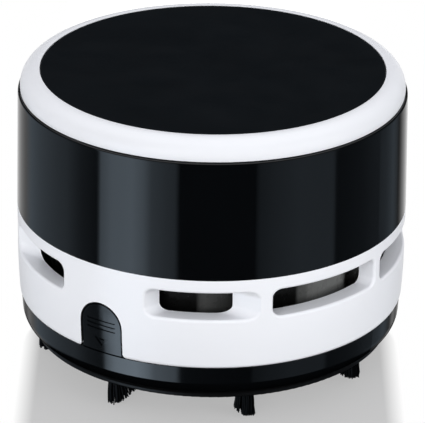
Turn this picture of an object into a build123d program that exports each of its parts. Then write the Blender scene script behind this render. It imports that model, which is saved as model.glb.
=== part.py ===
from build123d import *
import math
import os

# Desktop mini vacuum cleaner, in millimetres. The origin is on the body's axis at the desk,
# where the bristle tips rest, and +Z is up. The front release tab faces -Y, the rear tab and
# the slide switch face +Y. Bearings are degrees from -Y towards +X.

# ---- Outside form ------------------------------------------------------------------------
BODY_R = 41.8  # widest radius, where the vented band meets the sleeve
BRISTLE_DROP = 5.65  # underside of the bottom plate above the desk
BASE_H = 8.05  # underside of the bottom plate to the seam
BAND_H = 20.3  # vented band
SLEEVE_H = 25.9  # glossy sleeve
LID_H = 4.4  # sloping rim of the battery lid
SLEEVE_DRAFT = 0.45  # radius that the sleeve loses towards its top
LID_STEP = 0.55  # the lid's foot stands inside the sleeve's top edge
LID_RIM_W = 4.1  # width of the sloping rim, seen from above
LID_BULGE = 1.1  # crown of the rim's slope
BAND_TUCK = 0.4  # radius that the band loses towards the seam
BAND_TUCK_H = 10.3  # height above the seam over which it is lost
BAND_FOOT_ROUND = 0.8  # rounding of the band's lower edge
BASE_STEP = 0.25  # the base's shoulder stands inside the band's lower edge
BASE_WALL_H = 3.7  # near-upright part of the base's side
BASE_WALL_TAPER = 0.2  # radius that this part loses
BASE_TUCK = 2.5  # radius that the whole side loses, most of it in the rounding below
SEAM_GAP = 0.2  # shadow gap between the lid and the sleeve
EDGE = 0.35  # small rounding on moulded edges

# ---- Walls and fits ----------------------------------------------------------------------
BAND_WALL = 2.4  # band at the seam
VENT_DEPTH = 3.8  # band at the vents
SLEEVE_WALL = 2.35
SHELL_FLOOR_T = 1.2
SPIGOT_T = 1.9
SPIGOT_GAP = 0.4  # base spigot inside the band
SPIGOT_H = 3.6  # how far the spigot stands above the seam
LIP_H = 3.0  # band lip inside the sleeve
LIP_T = 1.7
SNUG = 0.1  # close fit between pieces that stay together
LOOSE = 0.3  # easy fit between pieces that stay together
PIN_GAP = 0.05  # running clearance of a pin or shaft in its hole
SCREW_GAP = 0.05  # a screw's shank in its hole
TOUCH = 0.05  # hairline left where a spring or the mesh meets its seat

# ---- Base --------------------------------------------------------------------------------
PLATE_INSET = 1.1  # bottom plate's collar inside the foot of the base shell
PLATE_T = 1.5
PLATE_SHOWS = 1.25  # bottom plate's rim, below the base shell
PLATE_PROUD = 0.15  # rim beyond the shell's foot
MOUTH_L = 29.6  # suction mouth along X
MOUTH_W = 7.6  # suction mouth along Y
MOUTH_FLARE = 1.0
MOUTH_CORNER_R = 1.5
CHUTE_WALL = 1.2
CHUTE_H = 6.8  # chute above the shell's floor
CHUTE_FLANGE = 2.5
CHUTE_FLANGE_T = 1.0
TUFT_COUNT = 8
TUFT_INSET = 3.2  # tufts inside the bottom plate's rim
TUFT_ROOT_R = 1.9
TUFT_TIP_R = 2.4
TUFT_BED = 0.3  # plate left over each tuft
BASE_SCREW_RING_R = 26.0
BASE_BOSS_R = 2.4
BASE_BOSS_H = 4.2
BASE_BOSS_CAP = 0.8  # boss left over the end of the screw hole
BASE_SCREW_SHORT = 1.2  # screw's end below the boss's top

# ---- Release tabs ------------------------------------------------------------------------
ARCH_HALF_W = 5.2
ARCH_H = 11.8  # arch above the seam
ARCH_FOOT_R = 1.4  # rounding where the arch meets the band's lower edge
TAB_SIDE_GAP = 0.25
TAB_TOP_GAP = 0.4
TAB_CREASE = 0.15  # gap between the tab and the base
TAB_SUNK = 0.2  # tab face inside the band's face
TAB_ARM_GAP = 1.1  # arm inside the band's bore
TAB_ARM_T = 1.3
TAB_ARM_HALF_W = 7.6
TAB_ARM_H = 6.45  # arm above the seam
TAB_ROUND = 0.25
TAB_PIVOT_INSET = 0.9  # pivot's axis inside the arm's outer face
TAB_PIVOT_H = 1.8  # pivot above the shell's floor
TAB_BARREL_R = 1.2
TAB_BARREL_HALF_W = 5.8
TAB_PIN_R = 0.95
EAR_T = 1.8
EAR_MARGIN = 2.0  # ear beyond the pivot's axis, inwards and upwards
NOTCH_HALF_W = 8.3
NOTCH_PAST = 0.15  # notch past the spigot's outer face
HOOK_IN_DEG = 8.2
HOOK_OUT_DEG = 11.2
HOOK_PROUD = 0.9
HOOK_T = 1.2
HOOK_GAP = 0.15
LEDGE_IN = 0.65  # catch ledge inside the band's bore
ARROW_W = 3.4
ARROW_H = 1.9
ARROW_LINE = 0.45
ARROW_RISE = 1.7  # arrow tip above the seam
BAR_COUNT = 3
BAR_W = 7.0
BAR_T = 0.45
BAR_PITCH = 1.0
BAR_RISE = 5.7  # lowest grip bar above the seam
MARK_DEPTH = 0.2
TAB_SPRING_R = 1.5
TAB_SPRING_WIRE_R = 0.18
TAB_SPRING_TURNS = 4
TAB_SPRING_RISE = 1.5  # spring axis above the seam
TAB_SPRING_L = 4.1  # room between the arm and the spring's wall
SPRING_WALL_T = 1.2
SPRING_WALL_HALF_W = 3.2
SPRING_PEG_R = 1.1
SPRING_PEG_L = 1.4
TAB_ARM_BITE = 0.5  # how far the face runs into the arm behind it

# ---- Vents -------------------------------------------------------------------------------
VENT_H = 6.05
VENT_RISE = 11.3  # vent sill above the seam
VENT_STEP = 2.5  # the band thickens this far below the sill
VENT_CORNER_R = 1.7
VENT_LIP_R = 0.6
SIDE_VENT_FACE_DEG = (51.8, 88.4)  # bearings of the vent next to the side pillar, at the band's face
SIDE_VENT_WALL_DEG = (48.3, 88.1)  # and at its inner wall
TAB_VENT_FACE_DEG = (14.0, 47.5)  # the vent next to a release tab
TAB_VENT_WALL_DEG = (17.0, 40.0)

# ---- Fan, filter and deck ----------------------------------------------------------------
FLANGE_T = 1.5  # band flange over the deck
FLANGE_W = 1.8
DECK_T = 1.2
FAN_BAY_H = 10.1  # shroud floor to deck
SHROUD_INSET = 3.0  # exhaust gap between the shroud and the vents
SHROUD_WALL = 1.6
SHROUD_FLOOR_T = 1.6
SHROUD_RIM_H = 7.0
INLET_R = 11.0
COLLAR_T = 1.2
COLLAR_H = 0.6  # collar above the shroud's floor
FILTER_INSET = 1.0  # filter frame inside the shroud
FILTER_RIM_W = 2.4
FILTER_T = 2.2
FILTER_MESH_T = 0.4
FILTER_SPOKE_W = 1.6
FILTER_SPOKES = 3
PULL_L = 8.0  # pull tab under the filter's rim
PULL_W = 2.0
PULL_T = 0.6
PULL_INSET = 2.2
FAN_R = 25.0
FAN_DISC_T = 1.0
FAN_TOP_GAP = 1.7  # fan disc below the deck
FAN_FLOOR_GAP = 1.2  # blades above the shroud's floor
FAN_HUB_R = 4.2
FAN_BLADES = 9
FAN_BLADE_T = 1.1
FAN_EYE_R = 6.5
FAN_BLADE_INSET = 0.5
FAN_SWEEP_DEG = (70.0, 60.0)  # bearings of a blade's middle and tip

# ---- Motor -------------------------------------------------------------------------------
MOTOR_R = 12.2
MOTOR_LEN = 12.3
MOTOR_CAN_T = 0.7
MOTOR_BELL_T = 1.8
MOTOR_NOSE_R = 3.1
MOTOR_CUP_T = 1.2
MOTOR_CUP_H = 3.9
SHAFT_R = 1.0
BUSH_R = 2.3
BUSH_T = 2.4
MAGNET_T = 2.3
MAGNET_H = 6.6
MAGNET_DEG = 125.0
AIR_GAP = 0.5
CORE_H = 5.2
CORE_SLOTS = 3
CORE_SLOT_W = 2.2
COMMUTATOR_R = 2.2
COMMUTATOR_H = 1.6
TERMINAL_L = 1.5
TERMINAL_HALF_W = 1.2
TERMINAL_BITE = 1.2  # terminal inside the end bell
TERMINAL_T = 0.4
TERMINAL_RISE = 0.5
BELL_CAP_T = 0.4  # end bell over the rear bush
SHAFT_SHORT = 0.6  # shaft's end below the end bell's top
MAGNET_RISE = 1.1  # magnets above the can's floor
CORE_STEM = 0.42  # poles' stem and crown, as shares of the core's radius
CORE_CROWN = 0.8
POCKET_HALF_DEG = 42.0
COIL_DEG = (14.0, 40.0)  # bearings of one coil side in its pocket
COIL_PROUD = 0.4  # coils beyond the core's ends
COMMUTATOR_DROP = 0.3  # commutator below the end bell
BRUSH_T = 0.4
BRUSH_FOOT_L = 2.6
BRUSH_HALF_W = 1.0
MOTOR_SCREW_X = 8.0

# ---- Screws ------------------------------------------------------------------------------
CHASSIS_SCREW_INSET = 5.5  # screws inside the shroud's face
CHASSIS_SCREW_L = 14.0
SCREW_R = 1.2
SCREW_HEAD_R = 2.2
SCREW_HEAD_T = 1.6
BOSS_R = 3.0
SCREW_SEAT_H = 5.2  # screw seats above the shroud's underside
SMALL_SCREW_R = 0.95
SMALL_HEAD_R = 1.8
SMALL_HEAD_T = 0.9
DRIVE_HALF_W = 0.25  # cross recess
DRIVE_REACH = 0.7  # recess arm and depth, as shares of the head's radius and height
DRIVE_DEPTH = 0.45
HEAD_ROUND = 0.4
PILOT_SPARE = 0.5  # hole beyond a screw's end

# ---- Battery bay -------------------------------------------------------------------------
CELL_R = 7.25
CELL_BODY_L = 49.2
CELL_NUB_L = 1.3
CELL_NUB_R = 2.75
CELL_PITCH = 15.2
CELL_GAP = 0.2
CELL_SPRING_L = 5.3
CELL_SPRING_R = 3.2
CELL_SPRING_WIRE_R = 0.25
CELL_SPRING_TURNS = 4
CONTACT_T = 0.4
CONTACT_HALF_W = 4.6
CONTACT_LOW = 5.1  # contact below the cell's axis
CONTACT_HIGH = 3.4
BRIDGE_HALF_H = 1.8
CELL_ROUND = 0.6
TAIL_L = 1.9
TAIL_HALF_W = 1.0
TRAY_GAP = 0.3  # tray above the motor
TRAY_FLOOR_T = 1.0
TRAY_TROUGH_H = 4.8
TRAY_WALL = 1.2
TRAY_WALL_H = 10.3
RIB_W = 1.3
RIB_H = 1.5

# ---- Battery lid -------------------------------------------------------------------------
DISC_T = 1.0
LID_PLATE_T = 1.5
SKIRT_T = 1.3
SKIRT_DEPTH = 4.6
SKIRT_GAP = 0.8  # skirt inside the sleeve's bore
LUG_COUNT = 3
LUG_T = 1.2
LUG_DEG = 14.0
LUG_INSIDE_DEG = 11.0  # lug's middle past the catch's end, when shut
CATCH_DEG = 84.0
CATCH_T = 1.1
CATCH_GAP = 0.15
LUG_CLEAR = 0.15
STOP_GAP_DEG = 1.5  # turning stop past the lug
STOP_DEG = 2.5

# ---- Slide switch ------------------------------------------------------------------------
POCKET_DEPTH = 1.8  # pocket inside the sleeve's foot
POCKET_HALF_W = 4.5
POCKET_H = 10.0
POCKET_MID_Z = 17.7  # pocket's middle above the sleeve's foot
POCKET_CORNER_R = 1.2
KNOB_HALF_W = 3.6
KNOB_H = 5.6
KNOB_SUNK = 0.6  # knob's face inside the sleeve's foot
KNOB_TRAVEL = 4.0
KNOB_RIB_T = 0.45
KNOB_RIBS = 4
KNOB_GROOVE = 0.35
KNOB_GROOVE_SHARE = 0.75  # groove length, as a share of the knob's width
KNOB_CORNER_R = 0.8
STEM_HALF_W = 1.2
STEM_H = 2.4
STEM_SHORT = 0.4  # stem's end in front of the pad's back
PAD_T = 2.0  # flat pad inside the sleeve that carries the switch
PAD_HALF_W = 6.0
PAD_H = 10.4
SWITCH_HALF_W = 2.6
SWITCH_H = 9.6
SWITCH_DEPTH = 5.4
NIB_HALF_W = 0.9
NIB_H = 1.8
NIB_L = 2.7
PIN_L = 1.8
PIN_PITCH = 3.0
PIN_HALF_W = 0.75
PIN_HALF_T = 0.25
CASE_ROUND = 0.3

# ---- Leads -------------------------------------------------------------------------------
LEAD_R = 0.6
LEAD_HOLE_R = 2.0
LEAD_INSET = 4.1  # leads inside the sleeve's bore
MOTOR_HOLE_INSET = 13.5
BATTERY_HOLE_DEG = 67.3

# ---- Heights and radii that follow -------------------------------------------------------
Z_PLATE = BRISTLE_DROP
Z_FOOT = Z_PLATE + PLATE_SHOWS
Z_SHELL = Z_PLATE + PLATE_T
Z_FLOOR = Z_SHELL + SHELL_FLOOR_T
Z_SEAM = Z_PLATE + BASE_H
Z_SPIGOT = Z_SEAM + SPIGOT_H
Z_BAND_TOP = Z_SEAM + BAND_H
Z_SLEEVE_TOP = Z_BAND_TOP + SLEEVE_H
Z_TOP = Z_SLEEVE_TOP + LID_H
Z_DECK_TOP = Z_BAND_TOP - FLANGE_T
Z_DECK = Z_DECK_TOP - DECK_T
Z_SHROUD = Z_DECK - FAN_BAY_H
Z_SHROUD_FLOOR = Z_SHROUD + SHROUD_FLOOR_T
Z_FILTER = Z_SHROUD - FILTER_T
Z_FAN_TOP = Z_DECK - FAN_TOP_GAP
Z_MOTOR_TOP = Z_DECK_TOP + MOTOR_LEN
Z_BELL = Z_MOTOR_TOP - MOTOR_BELL_T
Z_TRAY = Z_MOTOR_TOP + TRAY_GAP
Z_TRAY_FLOOR = Z_TRAY + TRAY_FLOOR_T
Z_CELL = Z_TRAY_FLOOR + CELL_GAP + CELL_R
Z_LID_PLATE = Z_TOP - DISC_T - LID_PLATE_T
Z_SKIRT = Z_LID_PLATE - SKIRT_DEPTH
Z_POCKET = Z_BAND_TOP + POCKET_MID_Z
Z_STEM = Z_POCKET - KNOB_TRAVEL / 2
Z_SILL = Z_SEAM + VENT_RISE
Z_HOOK = Z_SEAM + TAB_ARM_H - HOOK_T
Z_PIVOT = Z_FLOOR + TAB_PIVOT_H
Z_SPRING = Z_SEAM + TAB_SPRING_RISE
Z_MAGNET = Z_DECK_TOP + MOTOR_CAN_T + MAGNET_RISE
Z_CORE = Z_MAGNET + (MAGNET_H - CORE_H) / 2
Z_COMMUTATOR = Z_BELL - COMMUTATOR_DROP - COMMUTATOR_H

SLEEVE_TOP_R = BODY_R - SLEEVE_DRAFT
SLEEVE_BORE_R = SLEEVE_TOP_R - SLEEVE_WALL
SEAM_R = BODY_R - BAND_TUCK
BAND_BORE_R = SEAM_R - BAND_WALL
VENT_BORE_R = BODY_R - VENT_DEPTH
LID_FOOT_R = SLEEVE_TOP_R - LID_STEP
DISC_SEAT_R = LID_FOOT_R - LID_RIM_W
SHOULDER_R = SEAM_R - BASE_STEP
SHELL_FOOT_R = SHOULDER_R - BASE_TUCK
PLATE_R = SHELL_FOOT_R - PLATE_INSET
PLATE_RIM_R = SHELL_FOOT_R + PLATE_PROUD
SPIGOT_R = BAND_BORE_R - SPIGOT_GAP
TAB_ARM_R = BAND_BORE_R - TAB_ARM_GAP
TAB_PIVOT_Y = TAB_ARM_R - TAB_PIVOT_INSET
NOTCH_DEPTH_R = SPIGOT_R + NOTCH_PAST
SPRING_WALL_Y = TAB_ARM_R - TAB_ARM_T - TAB_SPRING_L
TUFT_RING_R = PLATE_RIM_R - TUFT_INSET
SHROUD_R = VENT_BORE_R - SHROUD_INSET
FILTER_R = SHROUD_R - FILTER_INSET
CHASSIS_SCREW_RING_R = SHROUD_R - CHASSIS_SCREW_INSET
POCKET_Y = BODY_R - POCKET_DEPTH
KNOB_Y = BODY_R - KNOB_SUNK
PAD_Y = POCKET_Y - PAD_T
STEM_Y = PAD_Y + STEM_SHORT
SKIRT_R = SLEEVE_BORE_R - SKIRT_GAP
BAY_HALF = (CELL_BODY_L + CELL_NUB_L + CELL_SPRING_L) / 2 + CONTACT_T
CHUTE_L = MOUTH_L + 2 * CHUTE_WALL
CHUTE_W = MOUTH_W + 2 * CHUTE_WALL
MAGNET_R = MOTOR_R - MOTOR_CAN_T
CORE_R = MAGNET_R - MAGNET_T - AIR_GAP


# ---- Shapes that repeat ------------------------------------------------------------------
def place(bearing, radius):
    """The point at that bearing and radius, as (x, y)."""
    angle = math.radians(bearing)
    return radius * math.sin(angle), -radius * math.cos(angle)


def block(x, y, z):
    """A box between two limits along each axis."""
    size = [high - low for low, high in (x, y, z)]
    middle = [(high + low) / 2 for low, high in (x, y, z)]
    return Pos(*middle) * Box(*size)


def rod(radius, low, high, x=0.0, y=0.0):
    """A round bar along Z."""
    return Pos(x, y, (low + high) / 2) * Cylinder(radius, high - low)


def rod_x(radius, low, high, y, z):
    """A round bar along X."""
    return Pos((low + high) / 2, y, z) * Rot(0, 90, 0) * Cylinder(radius, high - low)


def tube(outer, inner, low, high):
    return rod(outer, low, high) - rod(inner, low - 1, high + 1)


def turned(*edges):
    """A solid of revolution about Z from the edges of its half section."""
    return revolve(make_face(edges), Axis.Z)


def section(*points):
    """A run of straight edges through (radius, height) points."""
    return Polyline(*[(radius, 0, height) for radius, height in points]).edges()


def sector(outer, inner, low, high, start, end):
    """Part of a tube between two bearings."""
    half = make_face(section((inner, low), (outer, low), (outer, high), (inner, high), (inner, low)))
    return Rot(0, 0, start - 90) * revolve(half, Axis.Z, revolution_arc=end - start)


def both_sides(solid):
    """The solid and its mirror image across the YZ plane."""
    return solid + mirror(solid, about=Plane.YZ)


def front_and_rear(solid):
    """The solid and the same one turned half round."""
    return solid + Rot(0, 0, 180) * solid


def ring_of(solid, count, start=0.0):
    """Copies of a solid, evenly round the axis."""
    return [Rot(0, 0, start + 360 / count * i) * solid for i in range(count)]


def joined(solids):
    total = solids[0]
    for solid in solids[1:]:
        total = total + solid
    return total


def coil(radius, wire_r, length, turns):
    """A spring along +Z from the origin."""
    path = Helix(pitch=(length - 2 * wire_r) / turns, height=length - 2 * wire_r, radius=radius)
    wire = Plane(origin=path @ 0, z_dir=path % 0) * Circle(wire_r)
    return Pos(0, 0, wire_r) * sweep(wire, path=path, is_frenet=True)


def cross_recess(head_r, head_z, head_t):
    """A cross cut upwards into a screw head whose face is at head_z."""
    reach = head_r * DRIVE_REACH
    slot = block((-reach, reach), (-DRIVE_HALF_W, DRIVE_HALF_W), (head_z - 1, head_z + head_t * DRIVE_DEPTH))
    return slot + Rot(0, 0, 90) * slot


def screw(shank_r, length, head_r, head_t):
    """A pan-head screw: its seat is at z = 0 and its shank points up."""
    head = rod(head_r, -head_t, 0)
    head = fillet(head.edges().group_by(Axis.Z)[0], head_t * HEAD_ROUND)
    return head + rod(shank_r, 0, length) - cross_recess(head_r, -head_t, head_t)


def four_corners(radius):
    return [place(bearing, radius) for bearing in (45, 135, 225, 315)]


# ---- Base --------------------------------------------------------------------------------
def base_shell():
    wall = Line((SHOULDER_R, 0, Z_SEAM), (SHOULDER_R - BASE_WALL_TAPER, 0, Z_SEAM - BASE_WALL_H))
    rounding = TangentArc(wall @ 1, (SHELL_FOOT_R, 0, Z_FOOT), tangent=wall % 1)
    recess_r = PLATE_R + SNUG
    inner_r = SPIGOT_R - SPIGOT_T
    outline = section(
        (SHOULDER_R, Z_SEAM),
        (SPIGOT_R, Z_SEAM),
        (SPIGOT_R, Z_SPIGOT),
        (inner_r, Z_SPIGOT),
        (inner_r, Z_FLOOR),
        (0, Z_FLOOR),
        (0, Z_SHELL),
        (recess_r, Z_SHELL),
        (recess_r, Z_FOOT),
        (SHELL_FOOT_R, Z_FOOT),
    )
    shell = turned(wall, rounding, *outline)
    notch = block((-NOTCH_HALF_W, NOTCH_HALF_W), (-NOTCH_DEPTH_R, -SPRING_WALL_Y), (Z_FLOOR, Z_SPIGOT + 1))
    shell = shell - front_and_rear(notch)
    ear_x = TAB_BARREL_HALF_W + LOOSE
    ear = block(
        (ear_x, ear_x + EAR_T),
        (-NOTCH_DEPTH_R, -TAB_PIVOT_Y + EAR_MARGIN),
        (Z_FLOOR, Z_PIVOT + EAR_MARGIN),
    )
    ear = ear - rod_x(TAB_PIN_R + PIN_GAP, 0, NOTCH_HALF_W + 1, -TAB_PIVOT_Y, Z_PIVOT)
    spring_wall = block(
        (-SPRING_WALL_HALF_W, SPRING_WALL_HALF_W),
        (-SPRING_WALL_Y, -SPRING_WALL_Y + SPRING_WALL_T),
        (Z_FLOOR, Z_SPIGOT - LOOSE),
    )
    peg = Rot(90, 0, 0) * Cylinder(SPRING_PEG_R, SPRING_PEG_L)
    peg = Pos(0, -SPRING_WALL_Y - SPRING_PEG_L / 2, Z_SPRING) * peg
    shell = shell + front_and_rear(both_sides(ear)) + front_and_rear(spring_wall + peg)
    hole = block(
        (-CHUTE_L / 2 - SNUG, CHUTE_L / 2 + SNUG),
        (-CHUTE_W / 2 - SNUG, CHUTE_W / 2 + SNUG),
        (Z_SHELL - 1, Z_FLOOR + 1),
    )
    shell = shell - hole
    for x, y in four_corners(BASE_SCREW_RING_R):
        shell = shell + rod(BASE_BOSS_R, Z_FLOOR, Z_FLOOR + BASE_BOSS_H, x, y)
        pilot_top = Z_FLOOR + BASE_BOSS_H - BASE_BOSS_CAP
        shell = shell - rod(SMALL_SCREW_R + SCREW_GAP, Z_SHELL - 1, pilot_top, x, y)
    return shell


def bottom_plate():
    rim = rod(PLATE_RIM_R, Z_PLATE, Z_FOOT - TOUCH)
    rim = fillet(rim.edges().filter_by(GeomType.CIRCLE), EDGE)
    plate = rim + rod(PLATE_R, Z_PLATE + EDGE, Z_SHELL)
    mouth = RectangleRounded(MOUTH_L, MOUTH_W, MOUTH_CORNER_R)
    lip = offset(mouth, MOUTH_FLARE)
    flare = loft([Pos(0, 0, Z_PLATE) * lip, Pos(0, 0, Z_PLATE + MOUTH_FLARE) * mouth])
    plate = plate - extrude(Pos(0, 0, Z_PLATE - 1) * mouth, PLATE_T + 2) - flare
    hole = rod(TUFT_ROOT_R + SCREW_GAP, Z_PLATE - 1, Z_SHELL - TUFT_BED, 0, -TUFT_RING_R)
    for cut in ring_of(hole, TUFT_COUNT):
        plate = plate - cut
    for x, y in four_corners(BASE_SCREW_RING_R):
        plate = plate - rod(SMALL_SCREW_R + SCREW_GAP, Z_PLATE - 1, Z_SHELL + 1, x, y)
        sink = Cone(SMALL_HEAD_R + SCREW_GAP, SMALL_SCREW_R + SCREW_GAP, SMALL_HEAD_T)
        plate = plate - Pos(x, y, Z_PLATE + SMALL_HEAD_T / 2) * sink
    return plate


def intake_chute():
    """A rectangular chimney that keeps the dust in the tray, with a flange on the shell's floor."""
    high = Z_FLOOR + CHUTE_H
    chute = block((-CHUTE_L / 2, CHUTE_L / 2), (-CHUTE_W / 2, CHUTE_W / 2), (Z_SHELL, high))
    flange = block(
        (-CHUTE_L / 2 - CHUTE_FLANGE, CHUTE_L / 2 + CHUTE_FLANGE),
        (-CHUTE_W / 2 - CHUTE_FLANGE, CHUTE_W / 2 + CHUTE_FLANGE),
        (Z_FLOOR, Z_FLOOR + CHUTE_FLANGE_T),
    )
    flange = fillet(flange.edges().filter_by(Axis.Z), CHUTE_FLANGE)
    bore = block((-MOUTH_L / 2, MOUTH_L / 2), (-MOUTH_W / 2, MOUTH_W / 2), (Z_SHELL - 1, high + 1))
    return chute + flange - bore


def bristle_tufts():
    root = rod(TUFT_ROOT_R, Z_PLATE, Z_SHELL - TUFT_BED, 0, -TUFT_RING_R)
    skirt = Pos(0, -TUFT_RING_R, Z_PLATE / 2) * Cone(TUFT_TIP_R, TUFT_ROOT_R, Z_PLATE)
    return Compound(children=[Part() + solid for solid in ring_of(root + skirt, TUFT_COUNT)])


def base_screws():
    head = Pos(0, 0, SMALL_HEAD_T / 2) * Cone(SMALL_HEAD_R, SMALL_SCREW_R, SMALL_HEAD_T)
    shank = rod(SMALL_SCREW_R, SMALL_HEAD_T, PLATE_T + SHELL_FLOOR_T + BASE_BOSS_H - BASE_SCREW_SHORT)
    one = head + shank - cross_recess(SMALL_HEAD_R, 0, SMALL_HEAD_T)
    return Compound(children=[Pos(x, y, Z_PLATE) * one for x, y in four_corners(BASE_SCREW_RING_R)])


def tab_spring():
    start = -TAB_ARM_R + TAB_ARM_T + TOUCH
    spring = coil(TAB_SPRING_R, TAB_SPRING_WIRE_R, -SPRING_WALL_Y - start, TAB_SPRING_TURNS)
    return Pos(0, start, Z_SPRING) * Rot(-90, 0, 0) * spring


# ---- Release tabs ------------------------------------------------------------------------
def band_side(inset):
    """The band's side in half section, moved inwards: upright above, tucked in towards the seam."""
    upright = Line((BODY_R - inset, 0, Z_BAND_TOP), (BODY_R - inset, 0, Z_SEAM + BAND_TUCK_H))
    return [upright, TangentArc(upright @ 1, (SEAM_R - inset, 0, Z_SEAM), tangent=upright % 1)]


def band_form(inset):
    """The band's outside form as a solid, with its side moved inwards."""
    outline = section(
        (SEAM_R - inset, Z_SEAM), (0, Z_SEAM), (0, Z_BAND_TOP), (BODY_R - inset, Z_BAND_TOP)
    )
    return turned(*band_side(inset), *outline)


def arch_sketch(half_w, low, high):
    """An arch outline in the XZ plane, with a half-round head."""
    spring_line = high - half_w
    post = Pos(0, (low + spring_line) / 2) * Rectangle(2 * half_w, spring_line - low)
    return Plane.XZ * (post + Pos(0, spring_line) * Circle(half_w))


def arch_opening():
    """The arch through the front of the band, rounded where it runs out at the lower edge."""
    spring_line = ARCH_H - ARCH_HALF_W
    sill = Pos(0, -2) * Rectangle(6 * ARCH_HALF_W, 4)
    post = Pos(0, spring_line / 2) * Rectangle(2 * ARCH_HALF_W, spring_line)
    outline = Pos(0, Z_SEAM) * (sill + post + Pos(0, spring_line) * Circle(ARCH_HALF_W))
    feet = [v for v in outline.vertices() if abs(v.Y - Z_SEAM) < 0.01 and abs(v.X) < 1.5 * ARCH_HALF_W]
    outline = fillet(feet, ARCH_FOOT_R)
    return extrude(Plane.XZ * outline, BODY_R + 2)


def marks():
    """A plain arrow and a few grip bars, as grooves in the tab's face."""
    tip = Z_SEAM + ARROW_RISE
    arrow = Polygon((-ARROW_W / 2, tip + ARROW_H), (0, tip), (ARROW_W / 2, tip + ARROW_H), align=None)
    arrow = arrow - offset(arrow, -ARROW_LINE)
    bar_z = [Z_SEAM + BAR_RISE + BAR_PITCH * i for i in range(BAR_COUNT)]
    bars = [Pos(0, z) * SlotOverall(BAR_W, BAR_T) for z in bar_z]
    ink = extrude(Plane.XZ * joined([arrow] + bars), BODY_R + 2)
    return ink - band_form(TAB_SUNK + MARK_DEPTH)


def front_tab():
    low = Z_SEAM + TAB_CREASE
    head = extrude(
        arch_sketch(ARCH_HALF_W - TAB_SIDE_GAP, low, Z_SEAM + ARCH_H - TAB_TOP_GAP), BODY_R + 2
    )
    face = head & band_form(TAB_SUNK)
    rim = face.edges().filter_by(lambda e: (e @ 0.5).Y < -BAND_BORE_R)
    face = fillet(rim, TAB_ROUND)
    pad = face - rod(TAB_ARM_R - TAB_ARM_BITE, 0, Z_TOP)
    arm_deg = math.degrees(math.asin(TAB_ARM_HALF_W / TAB_ARM_R))
    neck_deg = math.degrees(math.asin((TAB_BARREL_HALF_W - LOOSE) / TAB_ARM_R))
    inner = TAB_ARM_R - TAB_ARM_T
    arm = sector(TAB_ARM_R, inner, Z_SEAM + LOOSE, Z_SEAM + TAB_ARM_H, -arm_deg, arm_deg)
    neck = sector(TAB_ARM_R, inner, Z_PIVOT, Z_SEAM + 1, -neck_deg, neck_deg)
    barrel = rod_x(TAB_BARREL_R, -TAB_BARREL_HALF_W, TAB_BARREL_HALF_W, -TAB_PIVOT_Y, Z_PIVOT)
    pin_end = TAB_BARREL_HALF_W + LOOSE + EAR_T
    pin = rod_x(TAB_PIN_R, -pin_end, pin_end, -TAB_PIVOT_Y, Z_PIVOT)
    return pad + arm + neck + barrel + pin - marks()


def latch_hooks():
    """Two barbs on the tab's arm that catch over the band's ledges."""
    barb = sector(TAB_ARM_R + HOOK_PROUD, TAB_ARM_R, Z_HOOK, Z_HOOK + HOOK_T, HOOK_IN_DEG, HOOK_OUT_DEG)
    return both_sides(barb)


# ---- Vented band and sleeve --------------------------------------------------------------
def vent_wedge(face, wall):
    """The space of one vent between two bearings at the band's face and two at its inner wall."""
    corners = []
    for outside, inside in zip(face, wall):
        outer = Vector(*place(outside, BODY_R))
        inner = Vector(*place(inside, VENT_BORE_R))
        along = outer - inner
        corners.append((inner - along * 0.5, outer + along * 0.6))
    (near_in, near_out), (far_in, far_out) = corners
    middle = Vector(*place(sum(face) / 2, BODY_R + VENT_DEPTH))
    plan = Polygon(near_in, near_out, middle, far_out, far_in, align=None)
    wedge = Pos(0, 0, Z_SILL) * extrude(plan, VENT_H)
    sides = [near_out - near_in, far_out - far_in]
    radial = wedge.edges().filter_by(
        lambda e: abs((e % 0).Z) < 0.1 and max(abs((e % 0).dot(s.normalized())) for s in sides) > 0.999
    )
    return fillet(radial, VENT_CORNER_R)


def vent_band():
    wide_z = Z_SILL - VENT_STEP
    lip_r = SLEEVE_BORE_R - SNUG
    flange_r = VENT_BORE_R - FLANGE_W
    outline = section(
        (BODY_R, Z_BAND_TOP),
        (lip_r, Z_BAND_TOP),
        (lip_r, Z_BAND_TOP + LIP_H),
        (lip_r - LIP_T, Z_BAND_TOP + LIP_H),
        (flange_r, Z_BAND_TOP),
        (flange_r, Z_DECK_TOP),
        (VENT_BORE_R, Z_DECK_TOP),
        (VENT_BORE_R, wide_z),
        (BAND_BORE_R, wide_z - 1),
        (BAND_BORE_R, Z_SEAM),
        (SEAM_R, Z_SEAM),
    )
    band = turned(*band_side(0), *outline)
    foot = band.edges().filter_by(GeomType.CIRCLE).group_by(Axis.Z)[0].sort_by(SortBy.RADIUS)[-1]
    band = fillet(foot, BAND_FOOT_ROUND)
    arch = arch_opening()
    for opening in (arch, Rot(0, 0, 180) * arch):
        band = band - opening
    ledge_r = BAND_BORE_R - LEDGE_IN
    ledge_top = Z_HOOK - HOOK_GAP
    ledge_low = ledge_top - HOOK_T
    ledge = sector(BAND_BORE_R + 0.5, ledge_r, ledge_low, ledge_top, HOOK_IN_DEG, HOOK_OUT_DEG + LOOSE)
    band = band + front_and_rear(both_sides(ledge))
    for face, wall in ((SIDE_VENT_FACE_DEG, SIDE_VENT_WALL_DEG), (TAB_VENT_FACE_DEG, TAB_VENT_WALL_DEG)):
        wedge = vent_wedge(face, wall)
        band = band - front_and_rear(both_sides(wedge))
    lips = band.edges().filter_by(
        lambda e: Z_SILL - 0.1 < (e @ 0.5).Z < Z_SILL + VENT_H + 0.1
        and all(abs(math.hypot((e @ t).X, (e @ t).Y) - BODY_R) < 0.02 for t in (0, 0.5, 1))
        and abs((e @ 0.5).X) > ARCH_HALF_W
        and e.length > 0.01
    )
    return fillet(lips, VENT_LIP_R)


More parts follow.
